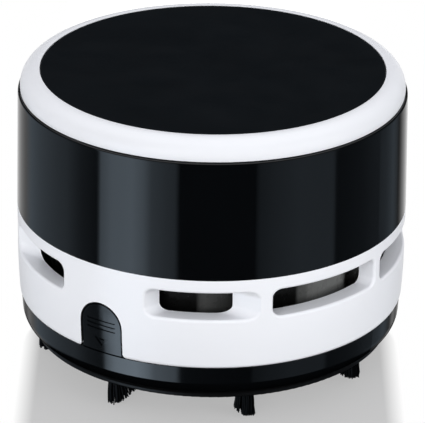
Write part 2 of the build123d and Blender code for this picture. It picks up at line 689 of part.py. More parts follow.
def switch_pocket():
    """The finger pocket in the sleeve's outside, and the slot for the knob's stem."""
    face = Pos(0, Z_POCKET) * RectangleRounded(2 * POCKET_HALF_W, POCKET_H, POCKET_CORNER_R)
    pocket = Pos(0, POCKET_Y, 0) * extrude(Plane.XZ * face, -(BODY_R - POCKET_Y + 1))
    reach = (STEM_H + KNOB_TRAVEL) / 2 + SNUG
    slot = block(
        (-STEM_HALF_W - SNUG, STEM_HALF_W + SNUG),
        (PAD_Y - 1, BODY_R),
        (Z_POCKET - reach, Z_POCKET + reach),
    )
    return pocket + slot


def sleeve():
    outline = section(
        (SLEEVE_BORE_R, Z_BAND_TOP),
        (BODY_R, Z_BAND_TOP),
        (SLEEVE_TOP_R, Z_SLEEVE_TOP - SEAM_GAP / 2),
        (SLEEVE_BORE_R, Z_SLEEVE_TOP - SEAM_GAP / 2),
        (SLEEVE_BORE_R, Z_TRAY),
        (SLEEVE_BORE_R - RIB_W, Z_TRAY),
        (SLEEVE_BORE_R - RIB_W, Z_TRAY - RIB_H),
        (SLEEVE_BORE_R, Z_TRAY - RIB_H - RIB_W),
        (SLEEVE_BORE_R, Z_BAND_TOP),
    )
    body = turned(*outline)
    rim = body.edges().filter_by(GeomType.CIRCLE).group_by(Axis.Z)[-1].sort_by(SortBy.RADIUS)[-1]
    body = fillet(rim, EDGE)
    pad_z = (Z_POCKET - PAD_H / 2, Z_POCKET + PAD_H / 2)
    pad = block((-PAD_HALF_W, PAD_HALF_W), (PAD_Y, POCKET_Y), pad_z)
    pad = pad & rod(SLEEVE_BORE_R + SNUG, 0, Z_TOP)
    body = body + pad
    catch_low = Z_SKIRT + LUG_T + CATCH_GAP
    root_r = SLEEVE_BORE_R + SNUG
    tip_r = SKIRT_R + CATCH_GAP
    catch = sector(root_r, tip_r, catch_low, catch_low + CATCH_T, 0, CATCH_DEG)
    stop_deg = CATCH_DEG - LUG_INSIDE_DEG - LUG_DEG / 2 - STOP_GAP_DEG
    stop = sector(root_r, tip_r, Z_SKIRT, catch_low, stop_deg - STOP_DEG, stop_deg)
    for copy in ring_of(catch + stop, LUG_COUNT):
        body = body + copy
    return body - switch_pocket()


# ---- Battery lid -------------------------------------------------------------------------
def battery_lid():
    foot_z = Z_SLEEVE_TOP + SEAM_GAP / 2
    crown = ThreePointArc(
        (LID_FOOT_R, 0, foot_z),
        ((LID_FOOT_R + DISC_SEAT_R) / 2 + LID_BULGE, 0, (foot_z + Z_TOP) / 2 + LID_BULGE),
        (DISC_SEAT_R, 0, Z_TOP),
    )
    outline = section(
        (DISC_SEAT_R, Z_TOP),
        (DISC_SEAT_R, Z_TOP - DISC_T),
        (0, Z_TOP - DISC_T),
        (0, Z_LID_PLATE),
        (SKIRT_R - SKIRT_T, Z_LID_PLATE),
        (SKIRT_R - SKIRT_T, Z_SKIRT),
        (SKIRT_R, Z_SKIRT),
        (SKIRT_R, foot_z),
        (LID_FOOT_R, foot_z),
    )
    lid = turned(crown, *outline)
    middle = CATCH_DEG - LUG_INSIDE_DEG
    lug_r = SLEEVE_BORE_R - LUG_CLEAR
    lug_ends = (middle - LUG_DEG / 2, middle + LUG_DEG / 2)
    lug = sector(lug_r, SKIRT_R - SKIRT_T / 2, Z_SKIRT, Z_SKIRT + LUG_T, *lug_ends)
    for copy in ring_of(lug, LUG_COUNT):
        lid = lid + copy
    return lid


def lid_disc():
    disc = rod(DISC_SEAT_R - SNUG, Z_TOP - DISC_T, Z_TOP)
    return fillet(disc.edges().group_by(Axis.Z)[-1], EDGE / 2)


# ---- Fan bay and filter ------------------------------------------------------------------
def motor_deck():
    deck = rod(VENT_BORE_R - LOOSE, Z_DECK, Z_DECK_TOP)
    cup_r = MOTOR_R + SNUG
    deck = deck + tube(cup_r + MOTOR_CUP_T, cup_r, Z_DECK_TOP, Z_DECK_TOP + MOTOR_CUP_H)
    deck = deck - rod(MOTOR_NOSE_R + SNUG, Z_DECK - 1, Z_DECK_TOP + 1)
    for x in (-MOTOR_SCREW_X, MOTOR_SCREW_X):
        deck = deck - rod(SMALL_SCREW_R + SNUG, Z_DECK - 1, Z_DECK_TOP + 1, x)
    for x, y in four_corners(CHASSIS_SCREW_RING_R):
        deck = deck - rod(SCREW_R + SNUG, Z_DECK - 1, Z_DECK_TOP + 1, x, y)
    return deck


def fan_shroud():
    floor = rod(SHROUD_R, Z_SHROUD, Z_SHROUD_FLOOR)
    wall = tube(SHROUD_R, SHROUD_R - SHROUD_WALL, Z_SHROUD, Z_SHROUD + SHROUD_RIM_H)
    collar = tube(INLET_R + COLLAR_T, INLET_R, Z_SHROUD, Z_SHROUD_FLOOR + COLLAR_H)
    shroud = floor + wall + collar - rod(INLET_R, Z_SHROUD - 1, Z_SHROUD_FLOOR + 2)
    seat = Z_SHROUD + SCREW_SEAT_H
    for x, y in four_corners(CHASSIS_SCREW_RING_R):
        shroud = shroud + rod(BOSS_R, Z_SHROUD, Z_DECK, x, y)
        shroud = shroud - rod(SCREW_R + SNUG, Z_SHROUD - 1, Z_DECK + 1, x, y)
        shroud = shroud - rod(SCREW_HEAD_R + SNUG, Z_SHROUD - 1, seat, x, y)
    return shroud


def filter_frame():
    frame = tube(FILTER_R, FILTER_R - FILTER_RIM_W, Z_FILTER, Z_SHROUD)
    spoke_z = (Z_FILTER, Z_FILTER + FILTER_T / 2 - FILTER_MESH_T / 2)
    spoke = block((-FILTER_SPOKE_W / 2, FILTER_SPOKE_W / 2), (-FILTER_R + 1, FILTER_R - 1), spoke_z)
    for i in range(FILTER_SPOKES):
        frame = frame + Rot(0, 0, 180 / FILTER_SPOKES * i) * spoke
    pull = block((-PULL_L / 2, PULL_L / 2), (-PULL_W / 2, PULL_W / 2), (Z_FILTER - PULL_T, Z_FILTER))
    return frame + Pos(0, -FILTER_R + PULL_INSET, 0) * pull


def filter_mesh():
    low = Z_FILTER + FILTER_T / 2 - FILTER_MESH_T / 2
    return rod(FILTER_R - FILTER_RIM_W - TOUCH, low, low + FILTER_MESH_T)


def impeller():
    blade_low = Z_SHROUD_FLOOR + FAN_FLOOR_GAP
    disc_low = Z_FAN_TOP - FAN_DISC_T
    root = Vector(FAN_HUB_R - FAN_BLADE_INSET, 0)
    middle = Vector(*place(FAN_SWEEP_DEG[0], FAN_R * 0.6))
    tip = Vector(*place(FAN_SWEEP_DEG[1], FAN_R - FAN_BLADE_INSET))
    thick = Vector(0, FAN_BLADE_T)
    first = ThreePointArc(root, middle, tip)
    second = ThreePointArc(root + thick, middle + thick, tip + thick)
    plan = make_face([first, Line(first @ 1, second @ 1), second, Line(second @ 0, first @ 0)])
    blade = Pos(0, 0, blade_low) * extrude(plan, disc_low - blade_low)
    wheel = rod(FAN_R, disc_low, Z_FAN_TOP) + rod(FAN_HUB_R, blade_low, Z_FAN_TOP)
    for copy in ring_of(blade, FAN_BLADES):
        wheel = wheel + copy
    eye = tube(FAN_R + 1, FAN_EYE_R, blade_low - 1, blade_low)
    return wheel - eye - rod(SHAFT_R, blade_low - 1, Z_FAN_TOP + 1)


# ---- Motor -------------------------------------------------------------------------------
def motor_can():
    can = rod(MOTOR_R, Z_DECK_TOP, Z_BELL) - rod(MAGNET_R, Z_DECK_TOP + MOTOR_CAN_T, Z_BELL + 1)
    nose = rod(MOTOR_NOSE_R, Z_DECK, Z_DECK_TOP + BUSH_T - DECK_T)
    can = can + nose - rod(BUSH_R, Z_DECK - 1, Z_DECK_TOP + BUSH_T)
    for x in (-MOTOR_SCREW_X, MOTOR_SCREW_X):
        can = can - rod(SMALL_SCREW_R + SCREW_GAP, Z_DECK_TOP - 1, Z_DECK_TOP + MOTOR_CAN_T + 1, x)
    return can


def motor_end_bell():
    bell = rod(MOTOR_R, Z_BELL, Z_MOTOR_TOP) - rod(BUSH_R, Z_BELL - 1, Z_MOTOR_TOP - BELL_CAP_T)
    return bell - front_and_rear(terminal_strip())


def terminal_strip():
    low = Z_BELL + TERMINAL_RISE
    return block(
        (-TERMINAL_HALF_W, TERMINAL_HALF_W),
        (MOTOR_R - TERMINAL_BITE, MOTOR_R + TERMINAL_L),
        (low, low + TERMINAL_T),
    )


def motor_terminals():
    strip = terminal_strip()
    return Compound(children=[strip, Rot(0, 0, 180) * strip])


def motor_bushes():
    front = tube(BUSH_R, SHAFT_R + PIN_GAP, Z_DECK, Z_DECK + BUSH_T)
    rear = tube(BUSH_R, SHAFT_R + PIN_GAP, Z_BELL, Z_MOTOR_TOP - BELL_CAP_T)
    return Compound(children=[front, rear])


def motor_magnets():
    high = Z_MAGNET + MAGNET_H
    half = MAGNET_DEG / 2
    arc = sector(MAGNET_R, MAGNET_R - MAGNET_T, Z_MAGNET, high, 90 - half, 90 + half)
    return Compound(children=[arc, Rot(0, 0, 180) * arc])


def armature_core():
    core = rod(CORE_R, Z_CORE, Z_CORE + CORE_H)
    low = Z_CORE - 1
    high = Z_CORE + CORE_H + 1
    stem = CORE_R * CORE_STEM
    slot = block((-CORE_SLOT_W / 2, CORE_SLOT_W / 2), (-CORE_R - 1, -stem), (low, high))
    pocket = sector(CORE_R * CORE_CROWN, stem, low, high, -POCKET_HALF_DEG, POCKET_HALF_DEG)
    for copy in ring_of(slot + pocket, CORE_SLOTS):
        core = core - copy
    return core - rod(SHAFT_R, low, high)


def armature_windings():
    """Three enamelled coils in the core's pockets, each side of a pole."""
    stem = CORE_R * CORE_STEM + SNUG
    crown = CORE_R * CORE_CROWN - SNUG
    right = sector(crown, stem, Z_CORE - COIL_PROUD, Z_CORE + CORE_H + COIL_PROUD, *COIL_DEG)
    left = mirror(right, about=Plane.YZ)
    return Compound(children=ring_of(right, CORE_SLOTS) + ring_of(left, CORE_SLOTS))


def commutator():
    return tube(COMMUTATOR_R, SHAFT_R, Z_COMMUTATOR, Z_COMMUTATOR + COMMUTATOR_H)


def motor_brushes():
    """Two sprung strips that hang from the end bell and touch the commutator."""
    near = COMMUTATOR_R + PIN_GAP
    width = (-BRUSH_HALF_W, BRUSH_HALF_W)
    leaf = block((near, near + BRUSH_T), width, (Z_COMMUTATOR + LOOSE, Z_BELL))
    foot = block((near, near + BRUSH_FOOT_L), width, (Z_BELL - BRUSH_T, Z_BELL))
    return Compound(children=[leaf + foot, Rot(0, 0, 180) * (leaf + foot)])


def motor_shaft():
    shaft = rod(SHAFT_R, Z_SHROUD_FLOOR + FAN_FLOOR_GAP, Z_MOTOR_TOP - SHAFT_SHORT)
    return chamfer(shaft.edges(), SHAFT_R / 5)


def motor_screws():
    one = screw(SMALL_SCREW_R, DECK_T + MOTOR_CAN_T, SMALL_HEAD_R, SMALL_HEAD_T)
    return Compound(children=[Pos(x, 0, Z_DECK) * one for x in (-MOTOR_SCREW_X, MOTOR_SCREW_X)])


def chassis_screws():
    one = screw(SCREW_R, CHASSIS_SCREW_L, SCREW_HEAD_R, SCREW_HEAD_T)
    seat = Z_SHROUD + SCREW_SEAT_H
    return Compound(children=[Pos(x, y, seat) * one for x, y in four_corners(CHASSIS_SCREW_RING_R)])


# ---- Battery bay -------------------------------------------------------------------------
def battery_tray():
    wall_x = BAY_HALF + TRAY_WALL
    wall_y = CELL_PITCH / 2 + CELL_R + CELL_GAP + TRAY_WALL
    tray = rod(SLEEVE_BORE_R - LOOSE, Z_TRAY, Z_TRAY_FLOOR)
    trough_z = (Z_TRAY_FLOOR, Z_TRAY_FLOOR + TRAY_TROUGH_H)
    wall_z = (Z_TRAY_FLOOR, Z_TRAY_FLOOR + TRAY_WALL_H)
    tray = tray + block((-wall_x, wall_x), (-wall_y, wall_y), trough_z)
    tray = tray + both_sides(block((BAY_HALF, wall_x), (-wall_y, wall_y), wall_z))
    for side in (-1, 1):
        tray = tray - rod_x(CELL_R + CELL_GAP, -BAY_HALF, BAY_HALF, side * CELL_PITCH / 2, Z_CELL)
        tail_y = side * CELL_PITCH / 2
        slot_y = (tail_y - TAIL_HALF_W - SNUG, tail_y + TAIL_HALF_W + SNUG)
        slot_z = (Z_CELL - CONTACT_T / 2 - SNUG, Z_CELL + CONTACT_T / 2 + SNUG)
        tray = tray - block((BAY_HALF - 1, wall_x + 1), slot_y, slot_z)
    pilot_top = Z_SHROUD + SCREW_SEAT_H + CHASSIS_SCREW_L + PILOT_SPARE
    for x, y in four_corners(CHASSIS_SCREW_RING_R):
        tray = tray + rod(BOSS_R, Z_DECK_TOP, Z_TRAY, x, y)
        tray = tray - rod(SCREW_R + SCREW_GAP, Z_DECK_TOP - 1, pilot_top, x, y)
    for x, y in (MOTOR_LEAD_HOLE, BATTERY_LEAD_HOLE):
        tray = tray - rod(LEAD_HOLE_R, Z_TRAY - 1, Z_TRAY_FLOOR + 1, x, y)
    return tray


def battery_cell(y, facing):
    """A cell along X, with its raised pole towards facing (+1 or -1)."""
    nub_tip = BAY_HALF - CONTACT_T
    body_high = nub_tip - CELL_NUB_L
    body = rod_x(CELL_R, body_high - CELL_BODY_L, body_high, 0, 0)
    body = fillet(body.edges(), CELL_ROUND)
    cell = body + rod_x(CELL_NUB_R, body_high - CELL_ROUND, nub_tip, 0, 0)
    return Pos(0, y, Z_CELL) * Rot(0, 0, 90 - 90 * facing) * cell


def contact_plate(y):
    return block(
        (BAY_HALF - CONTACT_T, BAY_HALF),
        (y - CONTACT_HALF_W, y + CONTACT_HALF_W),
        (Z_CELL - CONTACT_LOW, Z_CELL + CONTACT_HIGH),
    )


def tailed_contact(y):
    """A contact plate with a solder tail through the tray's end wall."""
    tail = block(
        (BAY_HALF - CONTACT_T, BAY_HALF + TRAY_WALL + TAIL_L),
        (y - TAIL_HALF_W, y + TAIL_HALF_W),
        (Z_CELL - CONTACT_T / 2, Z_CELL + CONTACT_T / 2),
    )
    return contact_plate(y) + tail


def bridge_contact():
    y = CELL_PITCH / 2
    bar_z = (Z_CELL - BRIDGE_HALF_H, Z_CELL + BRIDGE_HALF_H)
    bar = block((BAY_HALF - CONTACT_T, BAY_HALF), (-y, y), bar_z)
    return Rot(0, 0, 180) * (contact_plate(y) + contact_plate(-y) + bar)


def contact_springs():
    one = coil(CELL_SPRING_R, CELL_SPRING_WIRE_R, CELL_SPRING_L - 2 * TOUCH, CELL_SPRING_TURNS)
    start = BAY_HALF - CONTACT_T - TOUCH
    y = CELL_PITCH / 2
    right = Pos(start, -y, Z_CELL) * Rot(0, -90, 0) * one
    left = Pos(-start, y, Z_CELL) * Rot(0, 90, 0) * one
    return Compound(children=[right, left])


# ---- Slide switch ------------------------------------------------------------------------
def switch_knob():
    plate_low = Z_POCKET - POCKET_H / 2 + LOOSE / 2
    plate_z = (plate_low, plate_low + KNOB_H)
    plate = block((-KNOB_HALF_W, KNOB_HALF_W), (POCKET_Y + SNUG, KNOB_Y), plate_z)
    plate = fillet(plate.edges().filter_by(Axis.Y), KNOB_CORNER_R)
    pitch = KNOB_H / (KNOB_RIBS + 1)
    reach = KNOB_HALF_W * KNOB_GROOVE_SHARE
    for i in range(KNOB_RIBS):
        low = plate_low + pitch * (i + 1) - KNOB_RIB_T / 2
        plate = plate - block((-reach, reach), (KNOB_Y - KNOB_GROOVE, KNOB_Y + 1), (low, low + KNOB_RIB_T))
    stem_z = (Z_STEM - STEM_H / 2, Z_STEM + STEM_H / 2)
    return plate + block((-STEM_HALF_W, STEM_HALF_W), (STEM_Y, POCKET_Y + SNUG), stem_z)


def switch_nib():
    nib_z = (Z_STEM - NIB_H / 2, Z_STEM + NIB_H / 2)
    return block((-NIB_HALF_W, NIB_HALF_W), (STEM_Y - NIB_L, STEM_Y), nib_z)


def switch_case():
    case_z = (Z_POCKET - SWITCH_H / 2, Z_POCKET + SWITCH_H / 2)
    case = block((-SWITCH_HALF_W, SWITCH_HALF_W), (PAD_Y - SWITCH_DEPTH, PAD_Y), case_z)
    case = fillet(case.edges().filter_by(Axis.Y), CASE_ROUND)
    reach = (NIB_H + KNOB_TRAVEL) / 2 + LOOSE
    slot = block(
        (-NIB_HALF_W - SNUG, NIB_HALF_W + SNUG),
        (STEM_Y - NIB_L - LOOSE, PAD_Y + 1),
        (Z_POCKET - reach, Z_POCKET + reach),
    )
    return case - slot


def switch_pins():
    back = PAD_Y - SWITCH_DEPTH
    pin = block((-PIN_HALF_W, PIN_HALF_W), (back - PIN_L, back), (-PIN_HALF_T, PIN_HALF_T))
    return Compound(children=[Pos(0, 0, Z_POCKET + PIN_PITCH * i) * pin for i in (-1, 0, 1)])


# ---- Leads -------------------------------------------------------------------------------
TAIL_X = BAY_HALF + TRAY_WALL + TAIL_L - LEAD_R
PIN_END_Y = PAD_Y - SWITCH_DEPTH - PIN_L
MOTOR_LEAD_HOLE = (0.0, SLEEVE_BORE_R - MOTOR_HOLE_INSET)
BATTERY_LEAD_HOLE = place(BATTERY_HOLE_DEG, SLEEVE_BORE_R - LEAD_INSET)
TERMINAL_Y = MOTOR_R + TERMINAL_L

BATTERY_SWITCH_ROUTE = [
    (TAIL_X, CELL_PITCH / 2 + TAIL_HALF_W + SNUG, Z_CELL),
    (TAIL_X + SNUG, CELL_PITCH + 2 * LEAD_R, Z_CELL - 0.6),
    (*place(135.5, SLEEVE_BORE_R - LEAD_INSET), Z_CELL - 2.4),
    (*place(156.0, SLEEVE_BORE_R - 2 * LEAD_INSET), Z_CELL - 3.6),
    (0.0, PIN_END_Y - LEAD_R - SNUG, Z_POCKET - PIN_PITCH),
]
SWITCH_MOTOR_ROUTE = [
    (0.0, PIN_END_Y, Z_POCKET),
    (0.2, 26.0, Z_POCKET - 1.2),
    (MOTOR_LEAD_HOLE[0], MOTOR_LEAD_HOLE[1], Z_TRAY + 1.0),
    (-0.2, 24.0, Z_TRAY - 4.5),
    (0.1, 18.6, Z_BELL - 3.6),
    (0.0, TERMINAL_Y, Z_BELL + 0.1),
]
BATTERY_MOTOR_ROUTE = [
    (TAIL_X, -CELL_PITCH / 2 - TAIL_HALF_W - SNUG, Z_CELL),
    (TAIL_X + 0.6, -12.4, Z_CELL - 2.2),
    (BATTERY_LEAD_HOLE[0], BATTERY_LEAD_HOLE[1], Z_TRAY + 1.0),
    (28.5, -13.2, Z_TRAY - 3.6),
    (18.0, -14.6, Z_TRAY - 5.2),
    (7.0, -16.4, Z_BELL - 2.2),
    (0.0, -TERMINAL_Y, Z_BELL + 0.1),
]


def lead(route):
    """An insulated wire: straight runs joined by tangent arcs, each as large as its runs allow."""
    points = [Vector(*point) for point in route]
    radii = []
    for before, corner, after in zip(points, points[1:], points[2:]):
        first = corner - before
        second = after - corner
        turn = math.radians(first.get_angle(second))
        radii.append(0.45 * min(first.length, second.length) / math.tan(turn / 2))
    path = FilletPolyline(*points, radius=radii)
    wire = Plane(origin=path @ 0, z_dir=path % 0) * Circle(LEAD_R)
    return sweep(wire, path=path)


# ---- Pieces ------------------------------------------------------------------------------
TURNED_ROUND = Rot(0, 0, 180)
PIECES = {
    "base_shell": base_shell(),
    "bottom_plate": bottom_plate(),
    "intake_chute": intake_chute(),
    "bristle_tufts": bristle_tufts(),
    "base_screws": base_screws(),
    "front_tab_spring": tab_spring(),
    "rear_tab_spring": TURNED_ROUND * tab_spring(),
    "front_tab": front_tab(),
    "front_latch_hooks": latch_hooks(),
    "rear_tab": TURNED_ROUND * front_tab(),
    "rear_latch_hooks": TURNED_ROUND * latch_hooks(),
    "vent_band": vent_band(),
    "sleeve": sleeve(),
    "battery_lid": battery_lid(),
    "lid_disc": lid_disc(),
    "motor_deck": motor_deck(),
    "fan_shroud": fan_shroud(),
    "filter_frame": filter_frame(),
    "filter_mesh": filter_mesh(),
    "impeller": impeller(),
    "motor_can": motor_can(),
    "motor_end_bell": motor_end_bell(),
    "motor_terminals": motor_terminals(),
    "motor_bushes": motor_bushes(),
    "motor_magnets": motor_magnets(),
    "motor_brushes": motor_brushes(),
    "motor_shaft": motor_shaft(),
    "armature_core": armature_core(),
    "armature_windings": armature_windings(),
    "commutator": commutator(),
    "motor_screws": motor_screws(),
    "chassis_screws": chassis_screws(),
    "battery_tray": battery_tray(),
    "battery_cell_left": battery_cell(CELL_PITCH / 2, 1),
    "battery_cell_right": battery_cell(-CELL_PITCH / 2, -1),
    "positive_contact": tailed_contact(CELL_PITCH / 2),
    "negative_contact": tailed_contact(-CELL_PITCH / 2),
    "bridge_contact": bridge_contact(),
    "contact_springs": contact_springs(),
    "switch_knob": switch_knob(),
    "switch_nib": switch_nib(),
    "switch_case": switch_case(),
    "switch_pins": switch_pins(),
    "battery_switch_lead": lead(BATTERY_SWITCH_ROUTE),
    "switch_motor_lead": lead(SWITCH_MOTOR_ROUTE),
    "battery_motor_lead": lead(BATTERY_MOTOR_ROUTE),
}

os.makedirs("parts", exist_ok=True)
for name, piece in PIECES.items():
    export_step(piece, f"parts/{name}.step")
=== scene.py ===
import math
import random

import bpy
from bpy.props import FloatProperty, FloatVectorProperty, IntProperty, PointerProperty
from mathutils import Matrix, Vector


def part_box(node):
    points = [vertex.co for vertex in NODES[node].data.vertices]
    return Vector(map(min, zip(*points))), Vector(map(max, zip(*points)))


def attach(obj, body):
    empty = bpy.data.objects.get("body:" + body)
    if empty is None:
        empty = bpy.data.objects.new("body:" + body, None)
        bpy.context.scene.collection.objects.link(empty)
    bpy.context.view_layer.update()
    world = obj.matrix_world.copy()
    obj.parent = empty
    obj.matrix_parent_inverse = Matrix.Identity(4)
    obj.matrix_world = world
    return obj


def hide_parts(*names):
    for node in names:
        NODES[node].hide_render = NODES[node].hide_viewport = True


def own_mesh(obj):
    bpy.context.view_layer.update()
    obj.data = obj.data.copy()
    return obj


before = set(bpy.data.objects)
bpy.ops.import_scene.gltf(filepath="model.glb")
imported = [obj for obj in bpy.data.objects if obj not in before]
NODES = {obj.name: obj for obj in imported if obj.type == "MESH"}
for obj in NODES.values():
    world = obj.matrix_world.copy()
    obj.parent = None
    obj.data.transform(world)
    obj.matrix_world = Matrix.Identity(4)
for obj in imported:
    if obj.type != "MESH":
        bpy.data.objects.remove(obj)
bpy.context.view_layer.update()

bl_info = {
    "name": "Desk vacuum dressing",
    "version": (1, 0, 0),
    "blender": (4, 5, 0),
    "location": "3D View > Sidebar > Desk vacuum",
    "description": "Finishes a small round desk vacuum around its construction model",
    "category": "Object",
}

MM = 0.001
PER_MM = 1000.0  # texture scale: features for each millimetre
GOLDEN_ANGLE = math.pi * (3 - math.sqrt(5))


# ---- Measures taken from the frame -------------------------------------------------------
def top_of(node):
    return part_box(node)[1].z


def foot_of(node):
    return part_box(node)[0].z


def radius_of(node):
    """Half the width of a round piece on the body's axis."""
    low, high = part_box(node)
    return (high.x - low.x) / 2


def heading(bearing):
    """The level direction at a bearing, turning from the front (-Y) towards +X."""
    return Vector((math.sin(bearing), -math.cos(bearing), 0))


# ---- Properties --------------------------------------------------------------------------
def colour(name, description, default):
    return FloatVectorProperty(
        name=name, description=description, subtype="COLOR", size=3, min=0, max=1, default=default
    )


def length(name, description, default):
    return FloatProperty(name=name, description=description, unit="LENGTH", min=0, default=default)


def angle(name, description, default_deg):
    return FloatProperty(
        name=name, description=description, subtype="ANGLE", default=math.radians(default_deg)
    )


def amount(name, description, default, top=1.0):
    return FloatProperty(name=name, description=description, min=0, soft_max=top, default=default)


def power(name, description, default):
    return FloatProperty(name=name, description=description, unit="POWER", min=0, default=default)


class VacuumColours(bpy.types.PropertyGroup):
    """Colours of the mouldings, metals and leads."""

    shell: colour("Shell", "White mouldings of the band and the lid", (0.80, 0.814, 0.848))
    gloss: colour("Gloss black", "Sleeve, base and release tabs", (0.0014, 0.0017, 0.0021))
    disc: colour("Top disc", "Satin disc in the lid", (0.0044, 0.0058, 0.0074))
    inner: colour("Inner mouldings", "Dark mouldings inside the body", (0.03, 0.031, 0.034))
    # painted light: the lit colour of the patches painted on the drum behind the vents
    drum: colour("Drum panels", "Satin panels of the drum behind the vents", (0.21, 0.215, 0.21))
    bristle: colour("Bristles", "Nylon of the tufts", (0.0016, 0.0017, 0.002))
    filter_frame: colour("Filter frame", "Grey moulding of the filter", (0.5, 0.51, 0.53))
    filter_cloth: colour("Filter cloth", "Woven filter cloth", (0.72, 0.72, 0.69))
    fan: colour("Fan", "Impeller moulding", (0.1, 0.1, 0.11))
    knob: colour("Switch knob", "Pale slide knob", (0.68, 0.69, 0.73))
    bell: colour("End bell", "Natural nylon of the motor's end bell", (0.72, 0.71, 0.65))
    cell: colour("Cell wrap", "Plain wrap of the battery cells", (0.12, 0.2, 0.31))
    lead_red: colour("Red lead", "Insulation of the positive leads", (0.5, 0.02, 0.02))
    lead_black: colour("Black lead", "Insulation of the negative leads", (0.012, 0.012, 0.013))
    steel: colour("Steel", "Bright steel of screws, springs and contacts", (0.56, 0.57, 0.59))
    core: colour("Core steel", "Darker stacked steel of the armature", (0.3, 0.31, 0.33))
    brass: colour("Brass", "Terminals, bushes and contacts", (0.72, 0.54, 0.25))
    copper: colour("Copper", "Enamelled wire and commutator", (0.62, 0.26, 0.11))
    magnet: colour("Magnet", "Sintered magnets", (0.05, 0.05, 0.055))
    floor: colour("Floor", "Floor under its own lamp and glow", (0.2, 0.2, 0.2))


class VacuumSizes(bpy.types.PropertyGroup):
    """Sizes of the pieces that are modelled here."""

    arch_half_w: length("Arch half width", "Opening round a release tab", 5.2 * MM)
    arch_rise: length("Arch height", "Top of the opening above the band's foot", 11.8 * MM)
    disc_edge: length("Disc edge", "Rounding of the top disc's rim", 0.22 * MM)
    tuft_root: length("Tuft root", "Radius of a tuft where it leaves the plate", 1.9 * MM)
    tuft_tip: length("Tuft tip", "Radius of a tuft at its tips", 2.4 * MM)
    bristle_thickness: length("Bristle", "Thickness of one bristle", 0.34 * MM)
    bristles: IntProperty(name="Bristles", description="Bristles in a tuft", min=8, default=130)
    cloth_thickness: length("Cloth", "Thickness of the filter cloth", 0.3 * MM)
    cloth_crown: length("Cloth crown", "Rise of the cloth's middle over its rim", 0.35 * MM)


class VacuumStage(bpy.types.PropertyGroup):
    """Camera, lamps and floor."""

    bearing: angle("Camera bearing", "From the front towards +X", 33.1)
    elevation: angle("Camera elevation", "Above the horizon", 24.389)
    roll: angle("Camera roll", "Turn about the line of sight", 0.649)
    distance: length("Camera distance", "From the aim point", 691.1 * MM)
    aim_side: length("Aim to the side", "Aim point to the right of the axis", 0.221 * MM)
    aim_height: length("Aim height", "Aim point above the desk", 30.68 * MM)
    lens: FloatProperty(name="Lens", description="Focal length in millimetres", default=271.07)
    key_lamp: power("Key lamp", "High lamp behind the object", 4.2)
    left_fill_lamp: power("Left fill lamp", "Broad lamp in front, to the left", 10.9)
    right_fill_lamp: power("Right fill lamp", "Broad lamp at the right", 8.1)
    floor_lamp: power("Floor lamp", "Lamp behind that lights the floor alone", 50.0)
    glow: amount("Floor glow", "Light of the floor that only the camera sees", 0.41)
    air: amount("Air", "Even light from all round", 0.71)


# ---- Small steps of modelling ------------------------------------------------------------
def deselect():
    bpy.ops.object.select_all(action="DESELECT")


def name_piece(name):
    """Names the object that an operator has just made, and its mesh."""
    piece = bpy.context.object
    piece.name = name
    piece.data.name = name
    return piece


def place_in_mesh(piece):
    deselect()
    piece.select_set(True)
    bpy.context.view_layer.objects.active = piece
    bpy.ops.object.transform_apply(location=True, rotation=True, scale=True)


def close_up(limit=0.001 * MM):
    """In edit mode: merges doubles and turns every face outwards."""
    bpy.ops.mesh.select_all(action="SELECT")
    bpy.ops.mesh.remove_doubles(threshold=limit)
    bpy.ops.mesh.normals_make_consistent(inside=False)


def apply_modifier(piece, kind, **settings):
    modifier = piece.modifiers.new(kind.title(), kind)
    for key, value in settings.items():
        setattr(modifier, key, value)
    bpy.context.view_layer.objects.active = piece
    bpy.ops.object.modifier_apply(modifier=modifier.name)


def paint(piece, material):
    piece.data.materials.clear()
    piece.data.materials.append(material)


def finish_nodes(material, *names):
    """Gives CAD nodes whose shape stays their finish."""
    for name in names:
        for slot in NODES[name].material_slots:
            slot.material = material


